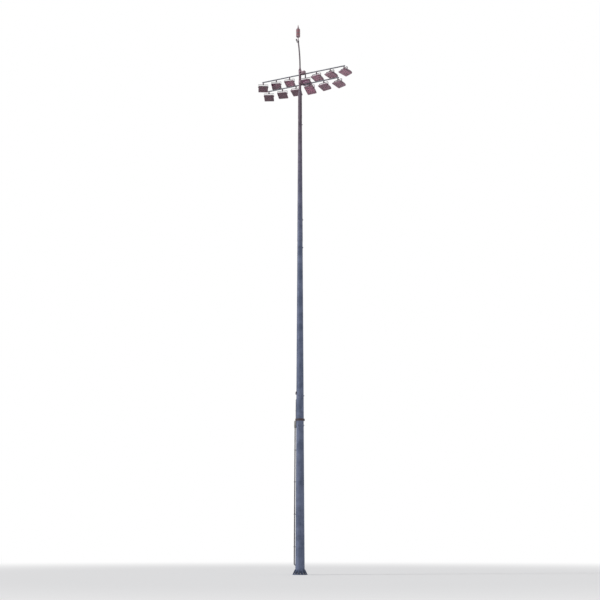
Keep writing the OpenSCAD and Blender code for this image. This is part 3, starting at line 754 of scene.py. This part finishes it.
def mast_seams(bm):
    """Lengthwise weld of each section, a low rounded ridge."""
    half, high, sunk, steps = 0.006, 0.0014, 0.003, 40
    shape = [(-sunk, -half), (-0.0002, -half), (high, -half / 2), (high * 1.25, 0),
             (high, half / 2), (-0.0002, half), (-sunk, half)]
    for section, angle, z0, z1 in SEAMS:
        rings = []
        for i in range(steps + 1):
            z = z0 + (z1 - z0) * i / steps
            r = mast_r(section, z)
            rings.append([turn(angle) @ Vector((r + out, y, z)) for out, y in shape])
        skin(bm, rings)


def joint_seals(bm):
    """Mastic fillet under the lower edge of the second and third slip joints."""
    fillet = [(-0.002, 0), (0.0058, 0), (0.0052, -0.003), (0.0015, -0.009), (-0.002, -0.009)]
    for section in (1, 2):
        z = JOINT_Z[section]
        inner = mast_r(section, z)
        lathe(bm, [(inner + out, z + up) for out, up in fillet], Matrix(), 64, True)


def head_welds(bm):
    """Beads of the reducer, the cap, the pole's socket and the two brackets."""
    for radius, z, size in (
            (mast_r(3, MAST_TOP) - 0.0005, MAST_TOP, 0.0035),
            (SPINE_R + 0.0063, MAST_TOP + 0.12, 0.003),
            (SPINE_R + 0.001, MAST_TOP + 0.181, 0.004),
            (SPINE_R + 0.001, SPINE_TOP - 0.001, 0.004),
            (SOCKET_R + 0.001, SPINE_TOP + CAP_T + 0.001, 0.0035)):
        bead(bm, ring_path(radius, z), size, True)
    tall = BRACKET_HALF - 0.008
    for z in ARM_Z.values():
        for side in (-1, 1):
            bead(bm, ring_path(SPINE_R + 0.0005, z + side * BRACKET_HALF), 0.0032, True)
            for face in (-1, 1):
                x = side * CHEEK_X + face * (CHEEK_HALF + 0.001)
                y = math.sqrt(CLAMP_R ** 2 - x * x)
                bead(bm, [(x, y, z - tall), (x, y, z + tall)], 0.0035)


# Collar and hood at the first slip joint

def collar_bolts(bm):
    for angle in (EAR_TURN, EAR_TURN + 180):
        for up in (0.034, 0.096):
            z = JOINT_Z[0] - COLLAR_DROP + up
            x = mast_r(0, z) + COLLAR_T + 0.027
            place = turn(angle) @ at(x=x, y=EAR_HALF, z=z) @ turn(90, "X")
            through_bolt(bm, 0.016, 2 * EAR_HALF, place)


def hood_shell(bm):
    """Pressed hood over the conduit's way into the mast."""
    width, height, out, sunk = 0.105, 0.17, 0.048, 0.02
    r = mast_r(1, HOOD_Z)
    top = HOOD_Z + height
    side = [(r - sunk, HOOD_Z), (r + out, HOOD_Z), (r + out, HOOD_Z + height * 0.6),
            (r + out * 0.4, top), (r - sunk, top)]
    prism(bm, side, -width / 2, width / 2, turn(HOOD_TURN) @ turn(90, "X"), 0.004)


def hood_screws(bm):
    """Tabs on both sides of the hood, each with a screw."""
    shift, half = 0.008, 0.013
    for z in (HOOD_Z + 0.025, HOOD_Z + 0.115):
        for side in (-1, 1):
            angle = HOOD_TURN + side * 16.4
            r = mast_r(1, z)
            washer_and_head(bm, 0.011, 0.002, 0.0075, 0.005, outward(angle, r - 0.001, z))
            y = -side * shift
            block(bm, (0, y - half, -0.015), (0.004, y + half, 0.015),
                  turn(angle) @ at(x=r - 0.0035, z=z), 0.001)


# Riser

RISER = at(x=-FOOT_R - RISER_AXIS) @ Matrix.Rotation(math.atan(TAPER), 4, "Y")


def strap_screws(bm, x, y, z, radius, height):
    """Screws on both sides of a strap."""
    for side in (-1, 1):
        place = RISER @ at(x=x, y=side * y, z=z) @ turn(-90 * side, "X")
        hex_head(bm, radius, height, place)


def wall_flange(bm, section, z, out, profile):
    place = at(x=-mast_r(section, z) - out, z=z) @ turn(-90, "Y")
    lathe(bm, profile, place, 40)


def riser_fittings(bm):
    """Couplings, strap screws, wall flanges and lock rings of the riser and the conduit."""
    for z in COUPLING_Z:
        lathe(bm, mirrored([(0.036, 0.034), (0.0395, 0.03), (0.0405, 0.026)], z), RISER, 40)
    for z in STRAP_Z:
        strap_screws(bm, 0, 0.04, z + 0.02, 0.0085, 0.006)
    strap_screws(bm, CONDUIT_X, 0.032, CONDUIT_STRAP_Z + 0.016, 0.0075, 0.005)
    wall_flange(bm, 0, RISER_BEND_Z - RISER_BEND_R, 0,
                [(0.054, -0.004), (0.054, 0.005), (0.052, 0.007), (0.041, 0.008),
                 (0.037, 0.016), (0.0345, 0.016)])
    wall_flange(bm, 1, CONDUIT_TOP + CONDUIT_BEND_R, 0.001,
                [(0.04, -0.004), (0.04, 0.004), (0.0385, 0.005), (0.03, 0.006),
                 (0.0268, 0.011), (0.0245, 0.011)])
    lathe(bm, [(0.045, BOX_Z - 0.012), (0.047, BOX_Z - 0.01), (0.047, BOX_Z + 0.001)], RISER, 8)
    lathe(bm, [(0.034, BOX_TOP - 0.001), (0.034, BOX_TOP + 0.009), (0.032, BOX_TOP + 0.011)],
          RISER @ at(x=CONDUIT_X), 8)


def riser_enclosure(bm):
    """Body, lid with its raised panel, and the feet that hold the box off the mast."""
    x0, x1 = BOX_X
    block(bm, (x0 + 0.003, BOX_LID_Y + 0.0025, BOX_Z), (x1 - 0.003, BOX_HALF, BOX_TOP),
          RISER, 0.006)
    block(bm, (x0, -BOX_HALF, BOX_Z), (x1, BOX_LID_Y, BOX_TOP), RISER, 0.006)
    block(bm, (x0 + 0.018, -BOX_HALF - 0.0015, BOX_Z + 0.05),
          (x1 - 0.018, BOX_LID_Y - 0.002, BOX_TOP - 0.05), RISER, 0.0012)
    for z in (BOX_Z + 0.04, BOX_TOP - 0.09):
        block(bm, (x1 - 0.004, -0.045, z), (RISER_AXIS + 0.006, 0.045, z + 0.05), RISER, 0.0015)


def riser_box_seal(bm):
    x0, x1 = BOX_X
    block(bm, (x0 + 0.006, BOX_LID_Y - 0.004, BOX_Z + 0.003),
          (x1 - 0.006, BOX_LID_Y + 0.006, BOX_TOP - 0.003), RISER, 0.001)


def lid_screws(bm, radius, inset, x_range, y, z_range, place=Matrix()):
    """Screws in the corners of a lid that faces -Y."""
    inset_x, inset_z = inset
    for x in (x_range[0] + inset_x, x_range[1] - inset_x):
        for z in (z_range[0] + inset_z, z_range[1] - inset_z):
            screw(bm, radius, place @ at(x=x, y=y, z=z) @ turn(90, "X"))


def riser_box_screws(bm):
    lid_screws(bm, 0.0065, (0.013, 0.016), BOX_X, -BOX_HALF, (BOX_Z, BOX_TOP), RISER)


# Head

def junction_box(bm):
    """Body, overlapping lid on the front and the foot that carries it from the head tube."""
    x0, x1 = JUNCTION_X
    low, high = JUNCTION_Z
    block(bm, (x0 + 0.004, JUNCTION_LID_Y + 0.003, low), (x1 - 0.004, JUNCTION_HALF, high),
          bevel=0.008)
    block(bm, (x0, -JUNCTION_HALF, low), (x1, JUNCTION_LID_Y, high), bevel=0.008)
    block(bm, (x0 + 0.03, -JUNCTION_HALF - 0.0018, low + 0.05),
          (x1 - 0.03, JUNCTION_LID_Y - 0.004, high - 0.05), bevel=0.0015)
    block(bm, (SPINE_R - 0.012, -0.05, low + 0.02), (x0 + 0.01, 0.05, low + 0.09), bevel=0.003)


def junction_seal(bm):
    x0, x1 = JUNCTION_X
    low, high = JUNCTION_Z
    block(bm, (x0 + 0.008, JUNCTION_LID_Y - 0.004, low + 0.004),
          (x1 - 0.008, JUNCTION_LID_Y + 0.007, high - 0.004), bevel=0.001)


def junction_hardware(bm):
    """Hinge knuckles, cam locks and lid screws."""
    x0, x1 = JUNCTION_X
    low, high = JUNCTION_Z
    r, groove = 0.006, 0.0045
    knuckles = mirrored([(0.0052, 0.02), (r, 0.019), (r, 0.0075), (groove, 0.007),
                         (groove, 0.0062), (r, 0.0057)])
    for z in (low + 0.05, high - 0.05):
        lathe(bm, knuckles, at(x=x1 + groove, y=JUNCTION_LID_Y, z=z), 20)
        block(bm, (x1 - 0.002, JUNCTION_LID_Y - 0.02, z - 0.02),
              (x1 + 0.0016, JUNCTION_LID_Y + 0.022, z + 0.02), bevel=0.0006)
        place = at(x=x0 + 0.017, y=-JUNCTION_HALF, z=z) @ turn(90, "X")
        lathe(bm, [(0.0115, -0.002), (0.0115, 0.003), (0.0105, 0.0042), (0.006, 0.0042),
                   (0.0055, 0.0015)], place, 32)
        block(bm, (-0.0052, -0.001, 0.001), (0.0052, 0.001, 0.0046), place, 0.0002)
    lid_screws(bm, 0.006, (0.014, 0.014), JUNCTION_X, -JUNCTION_HALF, JUNCTION_Z)


def junction_glands(bm):
    for i in range(3):
        for y in (-0.015, 0.045):
            place = at(x=JUNCTION_X[0] + 0.05 + i * 0.06, y=y, z=JUNCTION_Z[0] + 0.001)
            gland(bm, 0.0135, 0.034, place @ turn(180, "X"))


def clamp_screws(bm):
    """Set screws of the two clamps and of the pole's socket."""
    for z in ARM_Z.values():
        for angle in (-125, -90, -55):
            for up in (-0.055, 0.055):
                place = outward(angle, CLAMP_R - 0.001, z + up)
                washer_and_head(bm, 0.013, 0.0025, 0.0105, 0.008, place)
    for angle in (45, 165, 285):
        for up in (0.035, 0.09):
            place = outward(angle, SOCKET_R - 0.001, SPINE_TOP + CAP_T + up)
            hex_head(bm, 0.0085, 0.009, place)


# Crossarms

def lamp_x(name):
    return JOINTS["tilt_" + name]["pos_m"][0]


def arm_welds(bm):
    """Beads round each post, at the crossarm and at the lug plate, and each closed end."""
    across = [POST_HALF * (i / 6 - 1) for i in range(13)]
    saddle = [(POST_HALF, y, -math.sqrt(ARM_R ** 2 - y * y)) for y in across]
    saddle += [(-x, -y, z) for x, y, z in saddle]
    corners = ((-1, -1), (1, -1), (1, 1), (-1, 1))
    for row, arm_z in ARM_Z.items():
        names = [name for name in LAMPS if name.startswith(row)]
        ends = (lamp_x(names[0]) - ARM_OVERHANG, lamp_x(names[-1]) + ARM_OVERHANG)
        for side, x in zip((1, -1), ends):
            place = at(x=x + side * 0.0005, y=ARM_Y, z=arm_z) @ turn(90, "Y")
            bead(bm, ring_path(ARM_R - 0.0012, 0, 40, place), 0.0022, True)
        for name in names:
            low = -LUG_TOP - EXTRA_DROP.get(name, 0)
            foot = [(x * POST_HALF, y * POST_HALF, low) for x, y in corners]
            place = at(lamp_x(name), ARM_Y, arm_z)
            for path in (saddle, foot):
                bead(bm, [place @ Vector(point) for point in path], 0.003, True)


def bolt_threads(bm):
    """Threaded end of each stirrup bolt, under its nut."""
    for name in LAMPS:
        z = ARM_Z[name.split("_")[0]] - EXTRA_DROP.get(name, 0)
        place = at(lamp_x(name), ARM_Y, z - BOLT_END + 0.0105) @ turn(180, "X")
        thread(bm, 0.0104, 0, 0.0108, 0.0022, place)
        washer(bm, 0.0135, 0.0035, place @ at(z=-0.001))


# Floodlights

BURNER = at(y=0.17, z=-0.006) @ turn(90, "Y")


def stirrup_place(name):
    joint = JOINTS["tilt_" + name]
    axis = joint["axis"]
    swivel = Matrix.Rotation(math.atan2(-axis[1], -axis[0]), 4, "Z")
    return Matrix.Translation(joint["pos_m"]) @ swivel


def lamp_place(name):
    """Frame of a floodlight about its pivot, tilted as it hangs at rest."""
    return stirrup_place(name) @ turn(-STEEP_TILT.get(name, TILT), "X")


def between(z, stops):
    """Straight lines through (z, value) stops."""
    for (z0, v0), (z1, v1) in zip(stops, stops[1:]):
        if z <= z1:
            return v0 + (v1 - v0) * max(0.0, (z - z0) / (z1 - z0))
    return stops[-1][1]


def lamp_ring(z, inset, corner):
    """Round-cornered section of the housing at a height, set in from its outside."""
    half = between(z, [(RIM_TOP, HALF_W), (SHOULDER_Z, HALF_W - 0.034),
                       (LAMP_TOP, HALF_W - 0.062)]) - inset
    front = between(z, [(RIM_TOP, FRONT_Y), (LAMP_TOP, FRONT_TOP)]) + inset
    rear = between(z, [(REAR_KNEE_Z, REAR_Y), (LAMP_TOP, REAR_TOP)]) - inset
    return [Vector((x, y, z)) for x, y in round_rect(-half, half, front, rear, corner, 6)]


def lamp_skin(bm, levels, loop=False):
    """Skin over (height, inset, corner) levels of the housing."""
    skin(bm, [lamp_ring(*level) for level in levels], loop)


def lamp_shell(bm):
    """Cast shell above the rim, open below, with bosses, webs and fins."""
    inner = [(0.078, 0.016, 0.02), (0.066, 0.0075, 0.024), (0.05, 0.005, 0.022),
             (0.0166, 0.0045, 0.02), (-0.047, 0.0045, 0.019)]
    outer = [(RIM_TOP, 0.0025, 0.0225), (-0.0475, 0.0, 0.025), (-0.02, 0.0, 0.026),
             (0.012, 0.0, 0.028), (0.022, 0.0005, 0.03), (0.045, 0.0, 0.032),
             (SHOULDER_Z, 0.0012, 0.034), (0.07, 0.0012, 0.034), (0.0785, 0.0024, 0.033),
             (0.083, 0.005, 0.031), (LAMP_TOP, 0.0105, 0.028)]
    lamp_skin(bm, inner + outer)
    boss_h = BOSS_OUT - HALF_W
    boss = [(0.047, -0.028), (0.047, -0.02), (0.04, -0.0155), (0.0345, -0.009), (0.032, 0),
            (0.032, 0.0095), (0.0302, boss_h), (0.0086, boss_h), (0.0084, -0.0125)]
    web = [(-0.024, -0.026), (0.006, -0.028), (0.0025, -0.0495), (-0.024, -0.0495)]
    for side in (0, 180):
        lathe(bm, boss, turn(side) @ turn(90, "Y") @ at(z=HALF_W), 40)
        prism(bm, web, -0.005, 0.005, turn(side) @ at(x=HALF_W) @ turn(90, "X"), 0.0012)
    fin_half, fin_top = 0.0025, 0.097
    fin = [(0.0118, 0.08), (0.0157, 0.0925), (0.0212, 0.0962), (0.0282, fin_top),
           (REAR_TOP - 0.01, fin_top), (REAR_TOP, 0.0958), (REAR_TOP + 0.008, 0.0925),
           (REAR_Y + 0.001, 0.0285), (REAR_Y + 0.0062, 0.0225), (REAR_Y + 0.0062, 0.0165),
           (REAR_Y, 0.011), (REAR_Y - 0.008, 0.01), (REAR_TOP - 0.006, 0.078)]
    for i in range(FIN_COUNT):
        x = (i - (FIN_COUNT - 1) / 2) * FIN_PITCH
        place = Matrix(((0, 0, 1, x), (1, 0, 0, 0), (0, 1, 0, 0), (0, 0, 0, 1)))
        prism(bm, fin, -fin_half, fin_half, place, 0.0009)


def lamp_rim(bm):
    """Front frame with the ledge that the glass sits on, closed all round."""
    top, ledge, lip = -0.0535, -0.0895, GLASS_INSET - 0.0008
    lamp_skin(bm, [(LAMP_LOW, 0.003, 0.021), (-0.0925, 0.0, 0.024), (-0.056, 0.0, 0.024),
                   (top, 0.0025, 0.0215), (top, 0.017, 0.01), (-0.083, 0.0245, 0.006),
                   (ledge, BEZEL, 0.006), (ledge, lip, 0.0016), (-0.0945, lip, 0.0016),
                   (LAMP_LOW, lip - 0.0005, 0.0022)], True)


def lamp_seals(bm):
    """Gasket in the line between rim and shell, and the glazing seal behind the glass."""
    lamp_skin(bm, [(-0.0537, 0.004, 0.02), (-0.0498, 0.004, 0.02), (-0.0498, 0.016, 0.01),
                   (-0.0537, 0.016, 0.01)], True)
    wide, narrow = (0.0235, 0.006), (0.037, 0.006)
    lamp_skin(bm, [(-0.0899, *wide), (-0.0899, *narrow), (-0.087, *narrow), (-0.087, *wide)],
              True)


def lamp_reflector(bm):
    """Asymmetric bowl behind the glass, a thin pressed sheet with a turned-out rim."""
    bowl = [(-0.084, 0.037, 0.012), (-0.06, 0.04, 0.016), (-0.03, 0.047, 0.022),
            (0.0, 0.057, 0.03), (0.025, 0.07, 0.04), (0.044, 0.088, 0.05), (0.055, 0.112, 0.05),
            (0.059, 0.14, 0.04)]
    sheet = 0.0016
    outer = [(z + sheet * 0.6, inset - sheet, corner) for z, inset, corner in bowl]
    rim = [(-0.0825, 0.0285, 0.008), (-0.084, 0.0285, 0.008)]
    lamp_skin(bm, list(reversed(outer)) + rim + bowl)


def lamp_burner(bm):
    """Quartz envelope of the double-ended lamp, pinched at both ends."""
    lathe(bm, mirrored([(0.003, 0.098), (0.0045, 0.094), (0.0045, 0.078), (0.0088, 0.066),
                        (0.0112, 0.05), (0.012, 0.03)]), BURNER, 24)


def lamp_holders(bm):
    """Ceramic ends of the lamp and the posts that hold them."""
    for side in (-1, 1):
        lathe(bm, mirrored([(0.0075, 0.011), (0.0085, 0.009)]), BURNER @ at(z=side * 0.103), 24)
        block(bm, (-0.004, -0.011, 0.006), (0.058, 0.011, 0.018),
              BURNER @ at(z=side * 0.112 - 0.012) @ turn(180), 0.0015)


def lamp_latches(bm):
    """Two over-centre latches on the front, two hinge knuckles and the rear cover's screws."""
    wire_r, catch_x, hinge_z = 0.0013, 0.0095, -0.0515
    out, catch = -0.0062, -0.0868
    for x in (-0.18, 0.18):
        front = at(x, FRONT_Y, 0)
        block(bm, (-0.011, -0.0045, -0.088), (0.011, 0.001, -0.074), front, 0.001)
        slope = at(x, FRONT_Y + 0.0092, -0.044) @ turn(-57, "X")
        block(bm, (-0.013, -0.003, -0.006), (0.013, 0.001, 0.028), slope, 0.001)
        pin = front @ at(y=-0.0025, z=hinge_z) @ turn(90, "Y")
        lathe(bm, [(0.0025, -0.015), (0.0025, 0.015)], pin, 12)
        for side in (-0.0125, 0.0125):
            end = math.copysign(catch_x, side)
            wire = [(side, -0.0025, hinge_z), (side, out, -0.063), (side, out, -0.084),
                    (end, out, catch)]
            sweep(bm, [front @ Vector(point) for point in wire], wire_r)
        bar = [(-catch_x, out, catch), (catch_x, out, catch)]
        sweep(bm, [front @ Vector(point) for point in bar], wire_r)
    for x in (-0.22, 0.22):
        lathe(bm, mirrored([(0.0045, 0.022), (0.0055, 0.021)]),
              at(x, REAR_Y - 0.0005, -0.0518) @ turn(90, "Y"), 16)
    for x in (-0.127, 0.087):
        for z in (-0.039, 0.003):
            screw(bm, 0.0045, at(x, REAR_Y + 0.0025, z) @ turn(-90, "X"))


def lamp_cover(bm):
    """Cover of the wiring space on the rear wall."""
    rear = at(y=REAR_Y)
    block(bm, (-0.14, -0.003, -0.047), (0.1, 0.0028, 0.0105), rear, 0.0022)
    block(bm, (-0.112, -0.002, -0.033), (0.072, 0.0042, -0.003), rear, 0.0014)


def lamp_gland(bm):
    gland(bm, 0.013, 0.0285, at(0.168, REAR_Y - 0.001, -0.023) @ turn(-90, "X"))


def pivots(bm):
    """Notched aiming disc and washer under each pivot bolt's head."""
    notches, disc_r, notch = 24, 0.0375, 0.002
    points = 3 * notches
    disc = [polar(disc_r if i % 3 else disc_r - notch, TAU * i / points) for i in range(points)]
    for side in (0, 180):
        place = outward(side, STIRRUP_OUT - 0.0005, 0)
        prism(bm, disc, 0, 0.0025, place)
        washer(bm, 0.0195, 0.0026, place @ at(z=0.0024))
        lathe(bm, [(0.0178, 0.0048), (0.0178, 0.0066), (0.0165, 0.0072)], place, 24)


LAMP_PARTS = (
    (lamp_shell, LAMP_COAT, CASTING),
    (lamp_rim, LAMP_COAT, CASTING),
    (lamp_seals, RUBBER, CASTING),
    (lamp_cover, LAMP_COAT, CASTING),
    (lamp_reflector, REFLECTOR, CASTING),
    (lamp_burner, QUARTZ, "lamp_glass"),
    (lamp_holders, CERAMIC, CASTING),
    (lamp_latches, BRIGHT_ZINC, ZINC),
    (lamp_gland, BLACK_PLASTIC, CASTING),
)


def placed(mesh, place):
    """Copy of a mesh with its vertices moved to their place in the row frame."""
    copy = mesh.copy()
    copy.transform(place)
    return copy


def lamp_kind(name):
    if name in STEEP_TILT:
        return "steep"
    return "middle" if name in EXTRA_DROP else name.split("_")[0]


def add_lamps():
    for build, material, slot in LAMP_PARTS:
        part = build.__name__[len("lamp_"):]
        mesh = new_mesh(part, build)
        for name in LAMPS:
            finish = material[lamp_kind(name)] if material is REFLECTOR else material
            piece = add_piece(f"{part}_{name}", placed(mesh, lamp_place(name)), finish,
                              "lamp_" + name)
            if part == "shell":
                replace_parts(piece, "housing_" + name)
    mesh = new_mesh("pivots", pivots)
    for name in LAMPS:
        add_piece("pivots_" + name, placed(mesh, stirrup_place(name)), BRIGHT_ZINC,
                  "swivel_" + name)


# Beacon

BEACON = at(x=BEACON_X, z=BEACON_Z)


def ribbed_lenses(bm):
    """Two barrel lenses with horizontal ribs outside and a smooth bore."""
    ribs, belly, wall, groove = 18, 0.005, 0.006, 0.0022
    steps = ribs * 2
    bore, mouth = BEACON_R - wall - 0.001, BEACON_R - belly - wall
    for base in LENS_Z:
        outer = []
        for i in range(steps + 1):
            t = i / steps
            bulge = BEACON_R - belly + belly * min(1.0, 4 * t, 4 * (1 - t))
            outer.append((bulge if i % 2 else bulge - groove, base + LENS_H * t))
        inner = [(mouth, 1), (bore, 0.72), (bore, 0.28), (mouth, 0)]
        inner = [(radius, base + LENS_H * t) for radius, t in inner]
        lathe(bm, outer + inner, BEACON, 64, True)


def beacon_lights(bm):
    """Rings of small lamps round the inner column, behind the lenses."""
    tiers, pitch, around = 4, 0.04, 12
    for base in LENS_Z:
        for tier in range(tiers):
            z = base + 0.033 + tier * pitch
            lathe(bm, mirrored([(0.024, 0.013), (0.036, 0.011)], z), BEACON, 32)
            for i in range(around):
                place = BEACON @ outward(i * 30 + tier * 10, 0.0355, z)
                lathe(bm, [(0.0062, 0), (0.0062, 0.003), (0.0045, 0.0062), (0.0015, 0.0072)],
                      place, 12)


def beacon_trim(bm):
    """Bands, screws, flange bolts and the ring at the finial's foot."""
    r = BEACON_R
    waist = LENS_Z[0] + LENS_H
    for z in (LENS_Z[0] - 0.002, waist + 0.002, LENS_Z[1] - 0.002, LENS_TOP + 0.002):
        band = [(r - 0.012, 0.0035), (r + 0.0002, 0.0035), (r + 0.0012, 0.0025)]
        lathe(bm, mirrored(band, z), BEACON, 64, True)
    for i in range(6):
        screw(bm, 0.0055, BEACON @ outward(i * 60 + 30, r - 0.001, LENS_TOP + 0.017))
        screw(bm, 0.0055, BEACON @ outward(i * 60, r - 0.0125, waist + 0.02))
    for i in range(4):
        place = BEACON @ turn(i * 90 + 45) @ at(x=0.0485, z=0.0104) @ turn(180, "X")
        through_bolt(bm, 0.009, 0.0222, place)
    lathe(bm, [(0.05, -0.004), (0.0595, -0.004), (0.0605, -0.002), (0.0595, 0.003),
               (0.057, 0.0075), (0.05, 0.009)], BEACON @ at(z=LENS_TOP + CAP_H), 48, True)


def beacon_gland(bm):
    gland(bm, 0.0115, 0.03, BEACON @ at(x=0.027, z=0.07) @ turn(90, "Y") @ turn(20, "X"))


def on_pole(along):
    """Frame on the bent pole, along its arc from the bend's foot."""
    lean = along / POLE_BEND_R
    x = -POLE_BEND_R * (1 - math.cos(lean))
    z = SOCKET_TOP + POLE_BEND_R * math.sin(lean)
    return at(x=x, z=z) @ Matrix.Rotation(-lean, 4, "Y")


SENSOR = on_pole(POLE_ARC - 0.095)


def sensor_dome(bm):
    """Translucent dome on the light sensor's head."""
    profile = [(0.0385, 0), (0.038, 0.0035), (0.0345, 0.0085), (0.027, 0.0125), (0.016, 0.015),
               (0.004, 0.0158)]
    lathe(bm, profile, SENSOR @ at(x=SENSOR_X, z=SENSOR_TOP), 40)


def sensor_trim(bm):
    """Rain ribs of the sensor's head and the screws of its clamp."""
    for z in (0.186, 0.196, 0.264):
        lathe(bm, [(0.036, z - 0.003), (0.0405, z - 0.003), (0.0418, z), (0.0405, z + 0.003),
                   (0.036, z + 0.003)], SENSOR @ at(x=SENSOR_X), 40, True)
    for side in (-1, 1):
        for z in (0.015, 0.045):
            place = SENSOR @ at(y=side * 0.053, z=z) @ turn(-90 * side, "X")
            hex_head(bm, 0.0075, 0.006, place)


make(anchor_bolts, BRIGHT_ZINC)
make(foot_welds, WELD)
make(earth_boss, BRIGHT_ZINC)
make(door_weld, WELD)
make(door_locks, BRIGHT_ZINC)
make(mast_seams, MAST_ZINC)
make(joint_seals, MASTIC)
make(head_welds, WELD)
make(collar_bolts, BRIGHT_ZINC)
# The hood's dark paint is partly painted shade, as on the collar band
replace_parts(make(hood_shell, BAND_PAINT), "cable_hood")
make(hood_screws, BRIGHT_ZINC)
make(riser_fittings, BRIGHT_ZINC)
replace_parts(make(riser_enclosure, BOX_COAT), "riser_box")
make(riser_box_seal, RUBBER)
make(riser_box_screws, BRIGHT_ZINC)
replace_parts(make(junction_box, JUNCTION_COAT), "head_box")
make(junction_seal, RUBBER)
make(junction_hardware, BRIGHT_ZINC)
make(junction_glands, BLACK_PLASTIC)
make(clamp_screws, BRIGHT_ZINC)
make(arm_welds, WELD)
make(bolt_threads, BRIGHT_ZINC)
add_lamps()
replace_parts(make(ribbed_lenses, LENS_ROSE), "beacon_lenses")
make(beacon_lights, CERAMIC)
make(beacon_trim, BRIGHT_ZINC)
make(beacon_gland, BLACK_PLASTIC)
make(sensor_dome, QUARTZ)
make(sensor_trim, HEAD_PAINT)

# Finish of the CAD nodes that stay
FINISH = {ZINC: MAST_ZINC, DARK: BAND_PAINT, "grey_casting": BOX_COAT, CASTING: LAMP_COAT,
          "beacon_metal": BEACON_COAT, "red_lens": LENS_ROSE}
SPECIAL = {"upper_crossarm": ARM_ZINC["upper"], "lower_crossarm": ARM_ZINC["lower"],
           "upper_bracket": BRACKET_ZINC, "lower_bracket": BRACKET_ZINC,
           "head_tube": HEAD_ZINC, "beacon_pole": POLE_ZINC, "riser_pipe": RISER_ZINC,
           "sensor_arm": HEAD_PAINT}
for part in frame["record"]["subparts"]:
    node = part["node"]
    if node.startswith("glass_"):
        finish = LAMP_GLASS[lamp_kind(node[len("glass_"):])]
    elif node.startswith("stirrup_"):
        finish = STIRRUP_ZINC
    else:
        finish = SPECIAL.get(node, FINISH[part["material_slot"]])
    for socket in frame["nodes"][node].material_slots:
        socket.material = finish


# Floor, light and camera

WHITE = (1, 1, 1, 1)


def seen_rays(tree):
    """1 for camera, glossy and transmission rays, 0 for the rays that light surfaces."""
    path = add_node(tree, "LightPath").outputs
    first = add_node(tree, "Math", {0: path["Is Camera Ray"], 1: path["Is Glossy Ray"]},
                     operation="MAXIMUM")
    second = add_node(tree, "Math", {0: first.outputs[0], 1: path["Is Transmission Ray"]},
                      operation="MAXIMUM")
    return second.outputs["Value"]


def floor_material():
    """Pale floor that keeps the shadow near the mast and fades to white further out."""
    material = bpy.data.materials.new("studio_floor")
    material.use_nodes = True
    tree = material.node_tree
    tree.nodes.clear()
    matt = add_node(tree, "BsdfDiffuse", {"Color": (0.82, 0.82, 0.83, 1)})
    glow = add_node(tree, "Emission", {"Color": WHITE})
    coords = add_node(tree, "TexCoord")
    reach = add_node(tree, "VectorMath", {0: coords.outputs["Object"]}, operation="LENGTH")
    fade = add_node(tree, "MapRange",
                    {"Value": reach.outputs["Value"], "From Min": 16, "From Max": 62},
                    interpolation_type="SMOOTHSTEP")
    share = add_node(tree, "Math", {0: fade.outputs["Result"], 1: seen_rays(tree)},
                     operation="MULTIPLY")
    mix = add_node(tree, "MixShader", {0: share.outputs["Value"], 1: matt.outputs["BSDF"],
                                       2: glow.outputs["Emission"]})
    add_node(tree, "OutputMaterial", {"Surface": mix.outputs["Shader"]})
    return material


def add_floor():
    sides = 96
    bm = bmesh.new()
    rings = [ring_path(radius, 0, sides) for radius in (12, 60, 400)]
    rows = [[bm.verts.new(point) for point in ring] for ring in rings]
    for low, high in zip(rows, rows[1:]):
        for i in range(sides):
            j = (i + 1) % sides
            bm.faces.new((low[i], high[i], high[j], low[j]))
    bm.faces.new(rows[0])
    mesh = bpy.data.meshes.new("floor")
    bm.to_mesh(mesh)
    bm.free()
    mesh.materials.append(floor_material())
    floor = add_object("floor", mesh)


def add_world(strength):
    """Even white surroundings, at full strength only where they are seen."""
    world = bpy.data.worlds.new("studio")
    bpy.context.scene.world = world
    world.use_nodes = True
    tree = world.node_tree
    tree.nodes.clear()
    power = add_node(tree, "MapRange",
                     {"Value": seen_rays(tree), "To Min": strength, "To Max": 1.0})
    back = add_node(tree, "Background", {"Color": WHITE, "Strength": power.outputs["Result"]})
    add_node(tree, "OutputWorld", {"Surface": back.outputs["Background"]})


def add_sun(name, strength, spread, source):
    """Soft sun that shines from the source's direction onto the mast."""
    data = bpy.data.lights.new(name, "SUN")
    data.energy = strength
    data.angle = math.radians(spread)
    add_object(name, data).rotation_euler = Vector(source).to_track_quat("Z", "Y").to_euler()


def add_camera():
    """Camera at the photograph's eye, turned to the mast and narrowed to it."""
    eye = Vector((27.1, -55.8, 1.5))
    aim = Vector((0, 0, 15.7))
    data = bpy.data.cameras.new("camera")
    data.lens = 64.8
    data.sensor_width = 36
    data.clip_end = 1000
    camera = add_object("camera", data)
    camera.location = eye
    camera.rotation_euler = (aim - eye).to_track_quat("-Z", "Y").to_euler()
    bpy.context.scene.camera = camera


add_floor()
add_world(0.46)
add_sun("key", 2.1, 12, (-0.75, -0.6, 0.7))
add_sun("fill", 0.18, 40, (0.85, -0.3, 0.35))
add_camera()
bpy.context.scene.view_settings.view_transform = "Standard"
